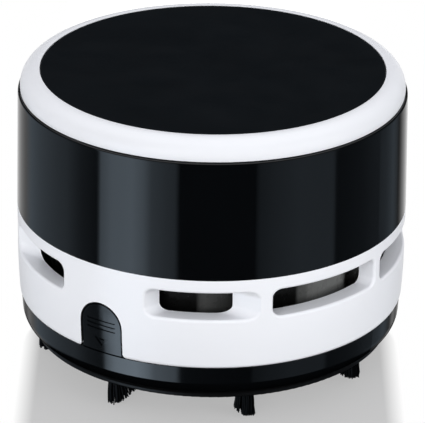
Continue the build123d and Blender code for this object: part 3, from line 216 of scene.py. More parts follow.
# ---- Finishes ----------------------------------------------------------------------------
class Finish:
    """A procedural material. Each step adds a node and returns the socket that carries on."""

    def __init__(self, name):
        self.material = bpy.data.materials.new(name)
        self.material.use_nodes = True
        self.tree = self.material.node_tree
        self.shader = self.tree.nodes["Principled BSDF"]
        self.place = self.node("ShaderNodeTexCoord").outputs["Object"]

    def feed(self, node, inputs):
        for key, value in inputs.items():
            if isinstance(value, bpy.types.NodeSocket):
                self.tree.links.new(value, node.inputs[key])
            else:
                node.inputs[key].default_value = value
        return node

    def node(self, kind, inputs=None, **settings):
        new = self.tree.nodes.new(kind)
        for key, value in settings.items():
            setattr(new, key, value)
        return self.feed(new, inputs or {})

    def stretched(self, x, y, z):
        """Places squeezed along each axis, for a grain that runs one way."""
        return self.node("ShaderNodeMapping", {"Vector": self.place, "Scale": (x, y, z)}).outputs[0]

    def noise(self, per_mm, detail=3.0, place=None):
        inputs = {"Vector": place or self.place, "Scale": per_mm * PER_MM, "Detail": detail}
        return self.node("ShaderNodeTexNoise", inputs).outputs["Fac"]

    def spread(self, value, low, high, start=0.3, end=0.7):
        """A value from start to end, spread over low to high."""
        inputs = {"Value": value, "From Min": start, "From Max": end, "To Min": low, "To Max": high}
        return self.node("ShaderNodeMapRange", inputs).outputs["Result"]

    def math(self, operation, first, second=0.0):
        return self.node("ShaderNodeMath", {0: first, 1: second}, operation=operation).outputs[0]

    def mix(self, factor, first, second):
        inputs = {0: factor, 6: first, 7: second}
        return self.node("ShaderNodeMix", inputs, data_type="RGBA").outputs[2]

    def tones(self, value, base, swing):
        """The colour, a little darker and lighter with a value."""
        darker = shade(base, 1 - swing)
        lighter = shade(base, 1 + swing)
        return self.mix(self.spread(value, 0.0, 1.0), darker, lighter)

    def bump(self, height, depth, below=None):
        inputs = {"Height": height, "Distance": depth}
        if below:
            inputs["Normal"] = below
        return self.node("ShaderNodeBump", inputs).outputs["Normal"]

    def surface(self, **inputs):
        """Feeds the shader's sockets and returns the material."""
        self.feed(self.shader, {key.replace("_", " "): value for key, value in inputs.items()})
        return self.material


def ramp_round(finish, turn_share, marks):
    """A colour that changes with the bearing, through marks of degrees and colour."""
    ramp = finish.node("ShaderNodeValToRGB", {0: turn_share})
    stops = ramp.color_ramp.elements
    while len(stops) > 1:
        stops.remove(stops[-1])
    for count, (degrees, light) in enumerate(marks):
        stop = stops[0] if count == 0 else stops.new(degrees / 360 + 0.5)
        stop.position = degrees / 360 + 0.5
        stop.color = (*light, 1.0)
    return ramp.outputs["Color"]


def toned(base, share):
    """A colour made darker or lighter."""
    return tuple(min(1.0, part * share) for part in base)


def shade(base, share):
    """The same with the alpha that a node's colour has."""
    return (*toned(base, share), 1.0)


ARCH_MARGIN = 0.03 * MM  # how far the painted shade in the arch reaches into the band's face
ARCH_SHADE_SHARE = 0.03  # share of the white that is left where the arch's shade is painted


def arch_painted_shade(f):
    """1 on the walls of the arches that the release tabs sit in, where the shade of the crevice round
    each tab is painted.
    """
    half_w = sizes().arch_half_w
    head = foot_of("vent_band") + sizes().arch_rise - half_w
    parts = f.node("ShaderNodeSeparateXYZ", {0: f.place}).outputs
    above = f.math("MAXIMUM", f.math("SUBTRACT", parts["Z"], head), 0.0)
    square = f.math("ADD", f.math("MULTIPLY", parts["X"], parts["X"]), f.math("MULTIPLY", above, above))
    return f.math("LESS_THAN", f.math("SQRT", square), half_w + ARCH_MARGIN)


def white_shell(name, base):
    """Glossy white moulding: a very faint orange peel, a roughness that wanders, and painted shade on
    the walls of the tab arches.
    """
    f = Finish(name)
    cast = f.noise(0.03, 2.0)
    skin = f.noise(0.7, 2.0)
    peel = f.noise(0.6, 0.0)
    return f.surface(
        # painted shade: the walls of the arches are darkened as if the crevice round each tab lay in
        # shadow
        Base_Color=f.mix(arch_painted_shade(f), f.tones(cast, base, 0.008), shade(base, ARCH_SHADE_SHARE)),
        Roughness=f.spread(skin, 0.3, 0.36),
        Normal=f.bump(peel, 0.0008 * MM),
    )


def gloss_black(name, base, roughness):
    """Polished black moulding: fine hairlines round the body and a few handling smears."""
    f = Finish(name)
    smears = f.spread(f.noise(0.06, 4.0), 0.0, 0.03, 0.5, 0.75)
    hairlines = f.spread(f.noise(1.0, 2.0, f.stretched(0.35, 0.35, 14.0)), 0.0, 0.03, 0.62, 0.8)
    level = f.math("ADD", f.math("ADD", smears, hairlines), roughness)
    peel = f.noise(0.5, 1.0)
    return f.surface(
        Base_Color=f.tones(f.noise(0.05), base, 0.12),
        Roughness=level,
        Normal=f.bump(peel, 0.0015 * MM),
    )


# Painted light and shade on the drum behind the vents, over half a turn from its front and again over
# the other half:
# degrees towards +X, and the share of the painted lit colour; the rest is painted shade.
DRUM_PAINTED_LIGHT = (
    (0, 0.0),
    (29.0, 0.0),
    (29.7, 0.26),
    (35, 0.16),
    (40, 0.08),
    (46, 0.0),
    (63.6, 0.0),
    (64.4, 0.31),
    (67.5, 0.35),
    (69, 0.57),
    (76, 0.7),
    (85.5, 0.78),
    (87, 0.0),
    (116, 0.4),
    (117, 0.0),
    (179.9, 0.0),
)
DRUM_PAINTED_SHADE = 0.018  # share of the drum's colour that its painted shade has


def painted_light_drum(base):
    """A dark drum with painted light and shade: lit patches between shaded ones, set by bearing."""
    f = Finish("drum_panels")
    parts = f.node("ShaderNodeSeparateXYZ", {0: f.place}).outputs
    bearing = f.math("ARCTAN2", parts["X"], f.math("MULTIPLY", parts["Y"], -1.0))
    other_half = [(degrees - 180, share) for degrees, share in DRUM_PAINTED_LIGHT]
    marks = [(degrees, (share,) * 3) for degrees, share in (*other_half, *DRUM_PAINTED_LIGHT)]
    # painted light and shade: lit patches and the shadows of the vents' edges, set by bearing
    tone = ramp_round(f, f.spread(bearing, 0.0, 1.0, -math.pi, math.pi), marks)
    return f.surface(
        Base_Color=f.mix(tone, shade(base, DRUM_PAINTED_SHADE), f.tones(f.noise(0.1), base, 0.1)),
        Roughness=f.spread(f.noise(0.6), 0.24, 0.34),
        Normal=f.bump(f.noise(3.0), 0.003 * MM),
        Specular_IOR_Level=0.2,
    )


def disc_black(base):
    """Satin black disc with a very fine moulded texture."""
    f = Finish("disc_black")
    texture = f.noise(7.0, 2.0)
    return f.surface(
        Base_Color=f.tones(f.noise(0.08, 4.0), base, 0.1),
        Roughness=f.spread(f.noise(0.15, 4.0), 0.3, 0.38),
        Normal=f.bump(texture, 0.002 * MM),
        Specular_IOR_Level=0.1,
    )


def moulded(name, base, roughness, grain_depth=0.01 * MM, swing=0.06, specular=0.5):
    """A plain moulding with a spark-eroded grain."""
    f = Finish(name)
    grain = f.noise(4.0, 3.0)
    return f.surface(
        Base_Color=f.tones(f.noise(0.12, 4.0), base, swing),
        Roughness=f.spread(f.noise(0.8), roughness - 0.05, roughness + 0.06),
        Normal=f.bump(grain, grain_depth),
        Specular_IOR_Level=specular,
    )


def drawn_metal(name, base, roughness, grain=(1.0, 1.0, 12.0)):
    """Metal with the fine lines of drawing or turning, and slight tarnish."""
    f = Finish(name)
    lines = f.noise(2.5, 3.0, f.stretched(*grain))
    tarnish = f.noise(0.35, 4.0)
    return f.surface(
        Base_Color=f.tones(tarnish, base, 0.1),
        Metallic=1.0,
        Roughness=f.spread(lines, roughness - 0.07, roughness + 0.1),
        Normal=f.bump(lines, 0.004 * MM),
    )


def sintered(name, base):
    """Pressed magnet material: dark, grainy and slightly sparkling."""
    f = Finish(name)
    grain = f.noise(6.0, 4.0)
    return f.surface(
        Base_Color=f.tones(grain, base, 0.4),
        Roughness=f.spread(grain, 0.45, 0.7),
        Normal=f.bump(grain, 0.02 * MM),
    )


def wound_wire(base):
    """Enamelled copper wire in close layers."""
    f = Finish("wound_wire")
    turns = f.node("ShaderNodeTexWave", {"Vector": f.place, "Scale": 0.9 * PER_MM, "Distortion": 1.5})
    fac = turns.outputs["Fac"]
    return f.surface(
        Base_Color=f.tones(fac, base, 0.35),
        Metallic=1.0,
        Roughness=f.spread(fac, 0.45, 0.25),
        Normal=f.bump(fac, 0.06 * MM),
    )


def stacked_sheets(base):
    """Thin steel sheets pressed into a core."""
    f = Finish("stacked_sheets")
    wave = {"Vector": f.place, "Scale": 0.7 * PER_MM}
    edges = f.node("ShaderNodeTexWave", wave, bands_direction="Z").outputs["Fac"]
    return f.surface(
        Base_Color=f.tones(edges, base, 0.3),
        Metallic=1.0,
        Roughness=f.spread(f.noise(2.0), 0.35, 0.55),
        Normal=f.bump(edges, 0.03 * MM),
    )


BARE_END = 2.2 * MM  # how much of each end of a cell the wrap leaves bare


def cell_wrap(base, steel):
    """A shrink-wrapped cell whose ends are bare steel."""
    f = Finish("cell_wrap")
    low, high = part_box("battery_cell_left")
    middle = (low.x + high.x) / 2
    half = (high.x - low.x) / 2 - BARE_END
    along = f.node("ShaderNodeSeparateXYZ", {0: f.place}).outputs["X"]
    out = f.math("ABSOLUTE", f.math("SUBTRACT", along, middle))
    bare = f.math("GREATER_THAN", out, half)
    film = f.tones(f.noise(0.2), base, 0.08)
    metal = f.tones(f.noise(0.5, 4.0), steel, 0.1)
    wrinkles = f.noise(0.6, 3.0, f.stretched(0.3, 1.0, 1.0))
    return f.surface(
        Base_Color=f.mix(bare, film, metal),
        Metallic=bare,
        Roughness=f.spread(wrinkles, 0.22, 0.36),
        Normal=f.bump(wrinkles, 0.02 * MM),
    )


def lead_sleeve(name, base):
    """Soft wire insulation, slightly matt, with dusty streaks."""
    f = Finish(name)
    return f.surface(
        Base_Color=f.tones(f.noise(0.9, 4.0), base, 0.15),
        Roughness=f.spread(f.noise(2.0), 0.42, 0.58),
        Normal=f.bump(f.noise(5.0), 0.006 * MM),
    )


DARK_STRAND, PALE_STRAND = 0.6, 2.5  # tones of the darkest and the palest bristle


def bristle_nylon(base):
    """Coarse black nylon: each bristle has its own tone, and fine lines along it."""
    f = Finish("bristle_nylon")
    strand = f.node("ShaderNodeAttribute", attribute_name="strand").outputs["Fac"]
    lines = f.noise(6.0, 2.0, f.stretched(1.0, 1.0, 0.08))
    return f.surface(
        Base_Color=f.mix(strand, shade(base, DARK_STRAND), shade(base, PALE_STRAND)),
        Roughness=f.spread(lines, 0.42, 0.6),
        Normal=f.bump(lines, 0.01 * MM),
        Specular_IOR_Level=0.12,
    )


def woven_cloth(base):
    """Plain weave of fine threads: two sets of waves, one over the other."""
    f = Finish("woven_cloth")
    wave = {"Vector": f.place, "Scale": 0.55 * PER_MM, "Distortion": 0.6}
    warp = f.node("ShaderNodeTexWave", wave, bands_direction="X").outputs["Fac"]
    weft = f.node("ShaderNodeTexWave", wave, bands_direction="Y").outputs["Fac"]
    weave = f.math("MAXIMUM", warp, weft)
    dust = f.noise(0.15, 5.0)
    tinted = f.tones(weave, base, 0.18)
    return f.surface(
        Base_Color=f.mix(f.spread(dust, 0.0, 0.25, 0.5, 0.8), tinted, shade(base, 0.45)),
        Roughness=f.spread(weave, 0.85, 0.95),
        Normal=f.bump(weave, 0.08 * MM),
        Sheen_Weight=0.2,
    )


# ---- Pieces ------------------------------------------------------------------------------
def colours():
    return bpy.context.scene.vacuum_colours


def sizes():
    return bpy.context.scene.vacuum_sizes


def steel_of(name, roughness=0.3, grain=(1.0, 1.0, 12.0)):
    return drawn_metal(name, colours().steel, roughness, grain)


LID_SHADE_SHARE = 0.95  # the lid's white is a little darker than the band's: painted shade that tones down the stronger light on the lid, and a slight difference between two mouldings


class VACUUM_OT_shell(bpy.types.Operator):
    """Finish the white band and the lid's rim"""

    bl_idname = "vacuum.shell"
    bl_label = "White shell"

    def execute(self, context):
        finish_nodes(white_shell("band_white", colours().shell), "vent_band")
        # painted shade: the lid's white is darkened a little against the light it gets
        finish_nodes(white_shell("lid_white", toned(colours().shell, LID_SHADE_SHARE)), "battery_lid")
        return {"FINISHED"}


class VACUUM_OT_gloss(bpy.types.Operator):
    """Finish the glossy black sleeve, base and release tabs"""

    bl_idname = "vacuum.gloss"
    bl_label = "Gloss black mouldings"

    def execute(self, context):
        finish_nodes(gloss_black("sleeve_gloss", colours().gloss, 0.05), "sleeve")
        tabs = ("front_tab", "rear_tab", "front_latch_hooks", "rear_latch_hooks")
        finish_nodes(gloss_black("base_gloss", colours().gloss, 0.08), "base_shell", *tabs)
        return {"FINISHED"}


class VACUUM_OT_top_disc(bpy.types.Operator):
    """Model the satin disc that lies flush in the lid"""

    bl_idname = "vacuum.top_disc"
    bl_label = "Top disc"

    def execute(self, context):
        deselect()
        low, high = foot_of("lid_disc"), top_of("lid_disc")
        radius = radius_of("lid_disc")
        bpy.ops.mesh.primitive_circle_add(
            vertices=192, radius=radius, fill_type="NGON", location=(0, 0, low)
        )
        disc = name_piece("top_disc")
        bpy.ops.object.mode_set(mode="EDIT")
        bpy.ops.mesh.extrude_region_move(TRANSFORM_OT_translate={"value": (0, 0, high - low)})
        bpy.ops.mesh.inset(thickness=sizes().disc_edge * 3)
        close_up()
        bpy.ops.object.mode_set(mode="OBJECT")
        place_in_mesh(disc)
        apply_modifier(
            disc, "BEVEL", width=sizes().disc_edge, segments=4,
            limit_method="ANGLE", angle_limit=math.radians(60),
        )
        bpy.ops.object.shade_smooth_by_angle(angle=math.radians(40))
        paint(disc, disc_black(colours().disc))
        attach(disc, "lid")
        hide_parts("lid_disc")
        return {"FINISHED"}


PLATE_TONE = 0.12  # the bottom plate is much darker than the mouldings inside
BUSH_TONE = 0.8  # the sintered bushes are duller than the terminals


class VACUUM_OT_underside(bpy.types.Operator):
    """Finish the bottom plate, the chute and the screws"""

    bl_idname = "vacuum.underside"
    bl_label = "Underside"

    def execute(self, context):
        plate = moulded("plate_plastic", toned(colours().inner, PLATE_TONE), 0.35, specular=0.2)
        finish_nodes(plate, "bottom_plate")
        finish_nodes(moulded("chute_plastic", colours().inner, 0.5), "intake_chute")
        finish_nodes(steel_of("screw_steel"), "base_screws", "chassis_screws", "motor_screws")
        return {"FINISHED"}


class VACUUM_OT_tab_springs(bpy.types.Operator):
    """Copy the springs behind the release tabs and attach them to the base"""

    bl_idname = "vacuum.tab_springs"
    bl_label = "Tab springs"

    def execute(self, context):
        wire = steel_of("spring_steel", 0.25)
        for tab in ("front", "rear"):
            node = NODES[f"{tab}_tab_spring"]
            deselect()
            mesh = node.data.copy()
            mesh.transform(node.matrix_world)
            spring = bpy.data.objects.new(f"{tab}_tab_coil", mesh)
            context.collection.objects.link(spring)
            spring.select_set(True)
            context.view_layer.objects.active = spring
            bpy.ops.object.mode_set(mode="EDIT")
            close_up()
            bpy.ops.object.mode_set(mode="OBJECT")
            bpy.ops.object.shade_smooth_by_angle(angle=math.radians(60))
            paint(spring, wire)
            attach(spring, "base")
            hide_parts(f"{tab}_tab_spring")
            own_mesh(spring)
        return {"FINISHED"}


# Each tuft's own look: bearing of its short side, how much shorter that side is, how far the
# tips lean outwards and sideways, how far the short side splays, and how much the whole tuft
# is trimmed, the last four in millimetres.
TUFT_LOOKS = (
    (123, 0.8, 0.2, 0.45, 3.0, 0.0),
    (303, 0.3, 0.4, 0.0, 0.2, 0.0),
    (200, 0.15, 0.1, 0.3, 0.2, 1.15),
    (90, 0.3, 0.2, -0.4, 0.6, 0.3),
    (10, 0.2, 0.4, 0.3, 0.3, 0.0),
    (250, 0.4, 0.1, -0.5, 0.8, 0.2),
    (140, 0.3, 0.3, 0.5, 0.4, 0.0),
    (60, 0.2, 0.2, -0.2, 0.3, 0.6),
)
TUFT_SEED = 11
LOCKS = 6  # clumps that the bristles of a tuft gather into
LOCK_REACH = 0.72  # how far out the clumps stand, as a share of the tips' radius
LOCK_TURN = 0.3  # how far a clump strays round its ring, in radians
LOCK_LIFT = 0.8 * MM  # how much shorter a clump may be
GATHER = 0.25  # how far tips are drawn to their clump's middle
CUT_CURVE = 1.3  # how the short side's cut grows towards its edge
RAGGED = 0.3  # how much shorter a single bristle may be, in millimetres
STRAY = 0.1  # how far a tip strays, in millimetres
LEAST_BRISTLE = 0.85  # a tip stays below this share of the plate's height
BOW_IN, BOW_OUT = -0.1, 0.35  # how far a bristle bows, in millimetres
PALE_RARITY = 4  # the higher, the fewer pale bristles
BRISTLE_STEPS = 5
BRISTLE_SIDES = 5
BRISTLE_TAPER = 0.95  # what each step keeps of a bristle's thickness


def one_bristle():
    """A bristle along -Z from the origin, one unit long, with a slightly thinner tip."""
    deselect()
    radius = sizes().bristle_thickness / 2
    bpy.ops.mesh.primitive_circle_add(vertices=BRISTLE_SIDES, radius=radius, fill_type="NGON")
    bristle = name_piece("bristle")
    bpy.ops.object.mode_set(mode="EDIT")
    for _ in range(BRISTLE_STEPS):
        down = {"value": (0, 0, -1 / BRISTLE_STEPS)}
        bpy.ops.mesh.extrude_region_move(TRANSFORM_OT_translate=down)
        bpy.ops.transform.resize(value=(BRISTLE_TAPER, BRISTLE_TAPER, 1.0))
    close_up()
    bpy.ops.object.mode_set(mode="OBJECT")
    bpy.ops.object.shade_smooth_by_angle(angle=math.radians(60))
    bristle.data.attributes.new("strand", "FLOAT", "POINT")
    return bristle


def lay_bristle(mesh, root, tip, bow):
    """Bends a unit bristle from its root to its tip."""
    for vertex in mesh.vertices:
        along = -vertex.co.z
        centre = root.lerp(tip, along) + bow * math.sin(math.pi * along)
        vertex.co = centre + Vector((vertex.co.x, vertex.co.y, 0))


class Bed:
    """Where the tufts stand, measured once: their ring, their holes' ends and the plate."""

    def __init__(self):
        self.ring = radius_of("bristle_tufts") - sizes().tuft_tip
        self.top = top_of("bristle_tufts")
        self.plate = foot_of("bottom_plate")


def tuft(pattern, bed, index, bearing, draw):
    """One tuft of bristles in its hole, flared and ragged at its tips."""
    short_bearing, short_share, lean_out, lean_side, splay, trim = TUFT_LOOKS[index]
    out, side = heading(bearing), heading(bearing + math.pi / 2)
    lean = (out * lean_out + side * lean_side) * MM
    short_way = heading(math.radians(short_bearing))
    foot = out * bed.ring
    locks = []
    for lock in range(LOCKS):
        turn = 2 * math.pi * lock / LOCKS + draw.uniform(-LOCK_TURN, LOCK_TURN)
        reach = sizes().tuft_tip * (LOCK_REACH if lock else 0.0)
        locks.append((heading(turn) * reach, draw.uniform(0.0, LOCK_LIFT) if lock else 0.0))
    copies = []
    for i in range(sizes().bristles):
        share = math.sqrt((i + 0.5) / sizes().bristles)
        way = heading(i * GOLDEN_ANGLE)
        root = foot + way * share * (sizes().tuft_root - sizes().bristle_thickness)
        spread = way * share * (sizes().tuft_tip - sizes().bristle_thickness / 2)
        middle, lift = min(locks, key=lambda lock: (lock[0] - spread).length)
        aim = spread.lerp(middle, GATHER) + lean
        cut = max(0.0, spread.dot(short_way) / sizes().tuft_tip)
        aim += short_way * cut * splay * MM
        shorter = (trim + draw.uniform(0, RAGGED)) * MM
        rise = cut ** CUT_CURVE * short_share * bed.plate + lift + shorter
        tip = foot + aim + Vector((draw.gauss(0, STRAY), draw.gauss(0, STRAY), 0)) * MM
        tip.z = min(rise, bed.plate * LEAST_BRISTLE)
        root.z = bed.top
        bow = way * draw.uniform(BOW_IN, BOW_OUT) * MM
        mesh = pattern.data.copy()
        lay_bristle(mesh, root, tip, bow)
        tone = draw.random() ** PALE_RARITY
        mesh.attributes["strand"].data.foreach_set("value", [tone] * len(mesh.vertices))
        copy = bpy.data.objects.new("bristle_copy", mesh)
        bpy.context.collection.objects.link(copy)
        copies.append(copy)
    deselect()
    for copy in copies:
        copy.select_set(True)
    bpy.context.view_layer.objects.active = copies[0]
    bpy.ops.object.join()
    return name_piece(f"bristle_tuft_{index + 1}")


class VACUUM_OT_bristles(bpy.types.Operator):
    """Model the eight bristle tufts under the base"""

    bl_idname = "vacuum.bristles"
    bl_label = "Bristle tufts"

    def execute(self, context):
        draw = random.Random(TUFT_SEED)
        nylon = bristle_nylon(colours().bristle)
        pattern = one_bristle()
        bed = Bed()
        count = len(TUFT_LOOKS)
        for index in range(count):
            made = tuft(pattern, bed, index, 2 * math.pi * index / count, draw)
            paint(made, nylon)
            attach(made, "base")
            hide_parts("bristle_tufts")
        bpy.data.objects.remove(pattern)
        return {"FINISHED"}


CLOTH_RINGS = 8
CROWN_GAIN = 1.5  # makes the rises of the rings add up to about the crown


class VACUUM_OT_filter(bpy.types.Operator):
    """Finish the filter's frame and model its cloth"""

    bl_idname = "vacuum.filter"
    bl_label = "Filter"

    def execute(self, context):
        finish_nodes(moulded("filter_plastic", colours().filter_frame, 0.4), "filter_frame")
        deselect()
        radius, foot = radius_of("filter_mesh"), foot_of("filter_mesh")
        bpy.ops.mesh.primitive_circle_add(
            vertices=96, radius=radius, fill_type="NGON", location=(0, 0, foot)
        )
        cloth = name_piece("filter_cloth_disc")
        bpy.ops.object.mode_set(mode="EDIT")
        for ring in range(CLOTH_RINGS):
            bpy.ops.mesh.inset(thickness=radius / (CLOTH_RINGS + 1))
            rise = sizes().cloth_crown * math.cos(math.pi / 2 * (ring + 0.5) / CLOTH_RINGS)
            bpy.ops.transform.translate(value=(0, 0, rise / CLOTH_RINGS * CROWN_GAIN))
        bpy.ops.mesh.select_all(action="SELECT")
        bpy.ops.mesh.normals_make_consistent(inside=False)
        bpy.ops.object.mode_set(mode="OBJECT")
        place_in_mesh(cloth)
        apply_modifier(cloth, "SOLIDIFY", thickness=sizes().cloth_thickness, offset=1.0)
        bpy.ops.object.shade_smooth_by_angle(angle=math.radians(40))
        paint(cloth, woven_cloth(colours().filter_cloth))
        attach(cloth, "housing")
        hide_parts("filter_mesh")
        return {"FINISHED"}


class VACUUM_OT_fan(bpy.types.Operator):
    """Finish the shroud, the fan and the deck that carries the motor"""

    bl_idname = "vacuum.fan"
    bl_label = "Fan and deck"

    def execute(self, context):
        # the drum gets painted light and shade instead of an even colour
        finish_nodes(painted_light_drum(colours().drum), "fan_shroud")
        finish_nodes(moulded("deck_plastic", colours().inner, 0.45), "motor_deck")
        finish_nodes(moulded("fan_plastic", colours().fan, 0.35), "impeller")
        return {"FINISHED"}


class VACUUM_OT_motor(bpy.types.Operator):
    """Finish the pieces of the brushed motor"""

    bl_idname = "vacuum.motor"
    bl_label = "Motor"

    def execute(self, context):
        finish_nodes(steel_of("motor_steel", 0.34), "motor_can")
        finish_nodes(moulded("bell_nylon", colours().bell, 0.45), "motor_end_bell")
        finish_nodes(steel_of("shaft_steel", 0.18, (12.0, 12.0, 1.0)), "motor_shaft")
        finish_nodes(drawn_metal("terminal_brass", colours().brass, 0.3), "motor_terminals")
        finish_nodes(drawn_metal("bush_brass", toned(colours().brass, BUSH_TONE), 0.45), "motor_bushes")
        finish_nodes(drawn_metal("brush_metal", colours().copper, 0.35), "motor_brushes", "commutator")
        finish_nodes(sintered("magnet", colours().magnet), "motor_magnets")
        finish_nodes(stacked_sheets(colours().core), "armature_core")
        finish_nodes(wound_wire(colours().copper), "armature_windings")
        return {"FINISHED"}


class VACUUM_OT_battery_bay(bpy.types.Operator):
    """Finish the battery tray, the cells and their contacts"""

    bl_idname = "vacuum.battery_bay"
    bl_label = "Battery bay"

    def execute(self, context):
        finish_nodes(moulded("tray_plastic", colours().inner, 0.48), "battery_tray")
        cells = ("battery_cell_left", "battery_cell_right")
        finish_nodes(cell_wrap(colours().cell, colours().steel), *cells)
        plates = ("positive_contact", "negative_contact", "bridge_contact")
        finish_nodes(steel_of("contact_steel", 0.24, (1.0, 12.0, 1.0)), *plates)
        finish_nodes(steel_of("cell_spring_steel", 0.22), "contact_springs")
        return {"FINISHED"}


class VACUUM_OT_switch(bpy.types.Operator):
    """Finish the slide switch and its knob"""

    bl_idname = "vacuum.switch"
    bl_label = "Slide switch"

    def execute(self, context):
        knob = moulded("knob_plastic", colours().knob, 0.35, 0.004 * MM, 0.02)
        finish_nodes(knob, "switch_knob", "switch_nib")
        finish_nodes(moulded("switch_case_plastic", colours().inner, 0.4), "switch_case")
        finish_nodes(drawn_metal("pin_brass", colours().brass, 0.28), "switch_pins")
        return {"FINISHED"}


class VACUUM_OT_leads(bpy.types.Operator):
    """Finish the insulated leads inside the sleeve"""

    bl_idname = "vacuum.leads"
    bl_label = "Leads"

    def execute(self, context):
        red = lead_sleeve("lead_red", colours().lead_red)
        finish_nodes(red, "battery_switch_lead", "switch_motor_lead")
        finish_nodes(lead_sleeve("lead_black", colours().lead_black), "battery_motor_lead")
        return {"FINISHED"}


# ---- Stage -------------------------------------------------------------------------------
FLOOR_RADIUS = 3.0
FLOOR_LIT_HALF_W = 0.037  # the floor's lit strip runs from behind the object to the camera
FLOOR_FADE_HALF_W = 0.041  # and is plain white outside this

# What glossy pieces see round them, low down: degrees round from the camera towards its right,
# and how bright the surround is there. Panels and black flags have crisp edges. The panels in
# front are slightly cool, and those behind the object are neutral.
COOL_LIGHT = (0.82, 1.0, 1.18)
COOL_WITHIN = 138  # degrees to either side of the camera
SURROUNDINGS = (
    (-174, 0.0),
    (-172, 0.42),
    (-160, 0.3),
    (-150, 0.205),
    (-142, 0.15),
    (-133, 0.165),
    (-108, 0.165),
    (-94, 0.15),
    (-82, 0.067),
    (-69.5, 0.028),
    (-67.5, 0.48),
    (-60, 0.76),
    (-47, 0.86),
    (-40, 0.65),
    (-35, 0.33),
    (-26, 0.23),
    (-20.5, 0.19),
    (-18.8, 0.008),
    (25.5, 0.006),
    (27.5, 0.078),
    (37, 0.12),
    (53, 0.16),
    (75.5, 0.138),
    (77.7, 0.02),
    (98, 0.03),
    (118, 0.05),
    (134, 0.095),
    (144, 0.024),
    (153, 0.22),
    (164, 0.4),
    (172, 0.45),
    (174, 0.0),
)
# How much brighter or darker the same panels are near their feet, where the base sees them.
PANEL_FEET = (
    (-158, 0.0),
    (-148, 0.5),
    (-100, 0.42),
    (-80, 0.5),
    (-70, 0.55),
    (-62, 0.85),
    (-40, 0.95),
    (-32, 1.2),
    (-19, 1.5),
    (22, 0.5),
    (30, 0.3),
    (76, 0.32),
    (80, 0.5),
    (150, 0.6),
    (158, 0.0),
)
PANEL_FEET_GAIN = 2.1
FEET_START, FEET_FULL = -0.425, -0.465  # sines of the elevations between which the feet begin
SURROUNDINGS_STRENGTH = 2.0
ABOVE_STRENGTH = 0.04  # what is left of the panels above their heads
HEADS_START, HEADS_END = 0.02, 0.17  # sines of the elevations between which the panels end
HIGH_START, HIGH_FULL = 0.6, 0.85  # sines between which the panel overhead begins
GROUND_START, GROUND_FULL = -0.56, -0.64  # below these the panels give way to dark ground
OVERHEAD = 0.9  # soft panel overhead, as glossy pieces see it
AIR_COOLNESS = 1.03  # blue of the even light against its red and green

# Each lamp's size, its degrees round from the camera towards its right, its degrees above the
# horizon, and its distance. The sizes and distances are in metres.
LAMPS = {
    "key_lamp": (0.13, 180, 55, 1.3),
    "left_fill_lamp": (0.9, -25, 10, 1.4),
    "right_fill_lamp": (0.9, 65, 13, 1.4),
    "floor_lamp": (0.07, 180, 50, 1.3),
}


def floor_finish(base, stage):
    """A floor that keeps the shadow in a strip towards the camera and is plain white beside it."""
    f = Finish("floor_paper")
    right = (math.cos(stage.bearing), math.sin(stage.bearing), 0.0)
    aside = f.node("ShaderNodeVectorMath", {0: f.place, 1: right}, operation="DOT_PRODUCT")
    distance = f.math("ABSOLUTE", aside.outputs["Value"])
    fade = f.spread(distance, 0.0, 1.0, FLOOR_LIT_HALF_W, FLOOR_FADE_HALF_W)
    seen = f.node("ShaderNodeLightPath").outputs["Is Camera Ray"]
    paper = f.node("ShaderNodeBsdfDiffuse", {"Color": f.tones(f.noise(0.02), base, 0.005)})
    glow = f.node("ShaderNodeEmission", {"Strength": f.math("MULTIPLY", seen, stage.glow)})
    near = f.node("ShaderNodeAddShader", {0: paper.outputs[0], 1: glow.outputs[0]})
    white = f.node("ShaderNodeEmission", {"Strength": 1.0})
    far = f.math("MULTIPLY", fade, seen)
    mixed = f.node("ShaderNodeMixShader", {0: far, 1: near.outputs[0], 2: white.outputs[0]})
    output = f.tree.nodes["Material Output"]
    f.tree.links.new(mixed.outputs[0], output.inputs["Surface"])
    f.tree.nodes.remove(f.shader)
    return f.material


class Air(Finish):
    """The world's nodes, put together like a finish."""

    def __init__(self, name):
        self.world = bpy.data.worlds.new(name)
        self.world.use_nodes = True
        self.tree = self.world.node_tree
        self.place = self.node("ShaderNodeTexCoord").outputs["Generated"]


def panel_light(degrees, level):
    """The colour of the surround's light at a bearing from the camera."""
    tint = COOL_LIGHT if abs(degrees) < COOL_WITHIN else (1.0, 1.0, 1.0)
    return tuple(level * part for part in tint)


def surroundings(air, bearing):
    """What glossy pieces reflect: panels and flags low down, a soft panel overhead."""
    turn = {"Vector": air.place, "Angle": -bearing}
    turned = air.node("ShaderNodeVectorRotate", turn, rotation_type="Z_AXIS").outputs[0]
    parts = air.node("ShaderNodeSeparateXYZ", {0: turned}).outputs
    front = air.math("MULTIPLY", parts["Y"], -1.0)
    round_about = air.math("ARCTAN2", parts["X"], front)
    turn_share = air.spread(round_about, 0.0, 1.0, -math.pi, math.pi)
    lights = [(degrees, panel_light(degrees, level)) for degrees, level in SURROUNDINGS]
    panels = ramp_round(air, turn_share, lights)
    feet = ramp_round(air, turn_share, [(degrees, (gain,) * 3) for degrees, gain in PANEL_FEET])
    low = air.spread(parts["Z"], SURROUNDINGS_STRENGTH, ABOVE_STRENGTH, HEADS_START, HEADS_END)
    ground = air.spread(parts["Z"], 0.0, 1.0, GROUND_FULL, GROUND_START)
    high = air.spread(parts["Z"], 0.0, OVERHEAD, HIGH_START, HIGH_FULL)
    near_feet = air.spread(parts["Z"], 0.0, 1.0, FEET_START, FEET_FULL)
    gain = air.math("MULTIPLY", feet, PANEL_FEET_GAIN)
    gain = air.math("ADD", air.math("MULTIPLY", air.math("SUBTRACT", gain, 1.0), near_feet), 1.0)
    level = air.math("MULTIPLY", air.math("MULTIPLY", low, ground), gain)
    ring = air.node("ShaderNodeVectorMath", {0: panels, "Scale": level}, operation="SCALE")
    return air.node("ShaderNodeVectorMath", {0: ring.outputs[0], 1: high}, operation="ADD").outputs[0]


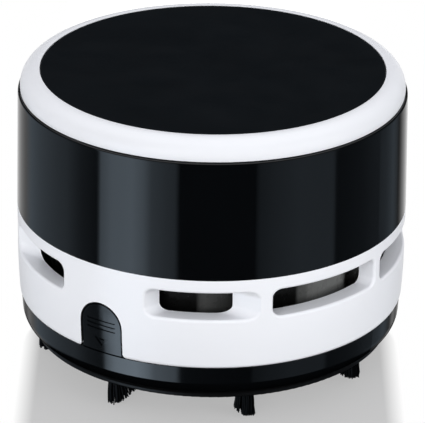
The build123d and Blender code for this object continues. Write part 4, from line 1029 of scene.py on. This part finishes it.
def studio_air(stage):
    """Even light all round for the eye, panels for glossy pieces, and plain white behind."""
    air = Air("studio_air")
    path = air.node("ShaderNodeLightPath").outputs
    even = (stage.air, stage.air, stage.air * AIR_COOLNESS, 1.0)
    lit = air.mix(path["Is Glossy Ray"], even, surroundings(air, stage.bearing))
    shown = air.mix(path["Is Camera Ray"], lit, (1.0, 1.0, 1.0, 1.0))
    back = air.tree.nodes["Background"]
    air.feed(back, {"Color": shown, "Strength": 1.0})
    bpy.context.scene.world = air.world


def soft_lamp(name, stage, aim):
    """A round lamp that looks at the aim point and isn't seen in reflections."""
    size, aside, above, distance = LAMPS[name]
    level = heading(stage.bearing + math.radians(aside))
    elevation = math.radians(above)
    away = level * math.cos(elevation) + Vector((0, 0, math.sin(elevation)))
    bpy.ops.object.light_add(type="AREA", location=aim + away * distance)
    lamp = bpy.context.object
    lamp.name = name
    lamp.data.shape = "DISK"
    lamp.data.size = size
    lamp.data.energy = getattr(stage, name)
    lamp.rotation_euler = away.to_track_quat("Z", "Y").to_euler()
    lamp.visible_glossy = False
    return lamp


def camera(stage):
    """The camera, aimed a little beside the axis and rolled slightly."""
    right = Vector((math.cos(stage.bearing), math.sin(stage.bearing), 0))
    level = math.cos(stage.elevation)
    back = heading(stage.bearing) * level + Vector((0, 0, math.sin(stage.elevation)))
    aim = right * stage.aim_side + Vector((0, 0, stage.aim_height))
    bpy.ops.object.camera_add(location=aim + back * stage.distance)
    made = bpy.context.object
    made.name = "main_camera"
    look = back.to_track_quat("Z", "Y").to_matrix()
    made.rotation_euler = (look @ Matrix.Rotation(stage.roll, 3, "Z")).to_euler()
    made.data.lens = stage.lens
    made.data.clip_start = 0.01
    made.data.clip_end = 20.0
    bpy.context.scene.camera = made


class VACUUM_OT_stage(bpy.types.Operator):
    """Set out the floor, the lamps, the air and the camera"""

    bl_idname = "vacuum.stage"
    bl_label = "Stage"

    def execute(self, context):
        stage = context.scene.vacuum_stage
        deselect()
        bpy.ops.mesh.primitive_circle_add(vertices=96, radius=FLOOR_RADIUS, fill_type="NGON")
        floor = name_piece("floor")
        paint(floor, floor_finish(colours().floor, stage))
        floor.visible_glossy = False
        aim = Vector((0, 0, stage.aim_height))
        lamps = {name: soft_lamp(name, stage, aim) for name in LAMPS}
        lit = bpy.data.collections.new("floor_only")
        lit.objects.link(floor)
        lamps["floor_lamp"].light_linking.receiver_collection = lit
        studio_air(stage)
        camera(stage)
        context.scene.view_settings.view_transform = "Standard"
        return {"FINISHED"}


# ---- Panel, registration and run ---------------------------------------------------------
PIECE_OPERATORS = (
    VACUUM_OT_stage,
    VACUUM_OT_shell,
    VACUUM_OT_gloss,
    VACUUM_OT_top_disc,
    VACUUM_OT_underside,
    VACUUM_OT_tab_springs,
    VACUUM_OT_bristles,
    VACUUM_OT_filter,
    VACUUM_OT_fan,
    VACUUM_OT_motor,
    VACUUM_OT_battery_bay,
    VACUUM_OT_switch,
    VACUUM_OT_leads,
)


class VACUUM_PT_dressing(bpy.types.Panel):
    """Lists the operators, with the colours, sizes and stage they read"""

    bl_idname = "VACUUM_PT_dressing"
    bl_label = "Desk vacuum"
    bl_space_type = "VIEW_3D"
    bl_region_type = "UI"
    bl_category = "Desk vacuum"

    def draw(self, context):
        for operator in PIECE_OPERATORS:
            self.layout.operator(operator.bl_idname)
        for group in ("vacuum_colours", "vacuum_sizes", "vacuum_stage"):
            box = self.layout.box()
            values = getattr(context.scene, group)
            for key in values.__annotations__:
                box.prop(values, key)


CLASSES = (VacuumColours, VacuumSizes, VacuumStage, *PIECE_OPERATORS, VACUUM_PT_dressing)


def register():
    for cls in CLASSES:
        bpy.utils.register_class(cls)
    bpy.types.Scene.vacuum_colours = PointerProperty(type=VacuumColours)
    bpy.types.Scene.vacuum_sizes = PointerProperty(type=VacuumSizes)
    bpy.types.Scene.vacuum_stage = PointerProperty(type=VacuumStage)


def unregister():
    del bpy.types.Scene.vacuum_colours
    del bpy.types.Scene.vacuum_sizes
    del bpy.types.Scene.vacuum_stage
    for cls in reversed(CLASSES):
        bpy.utils.unregister_class(cls)


def main():
    register()
    for operator in PIECE_OPERATORS:
        group, name = operator.bl_idname.split(".")
        getattr(getattr(bpy.ops, group), name)()


if __name__ == "__main__":
    main()
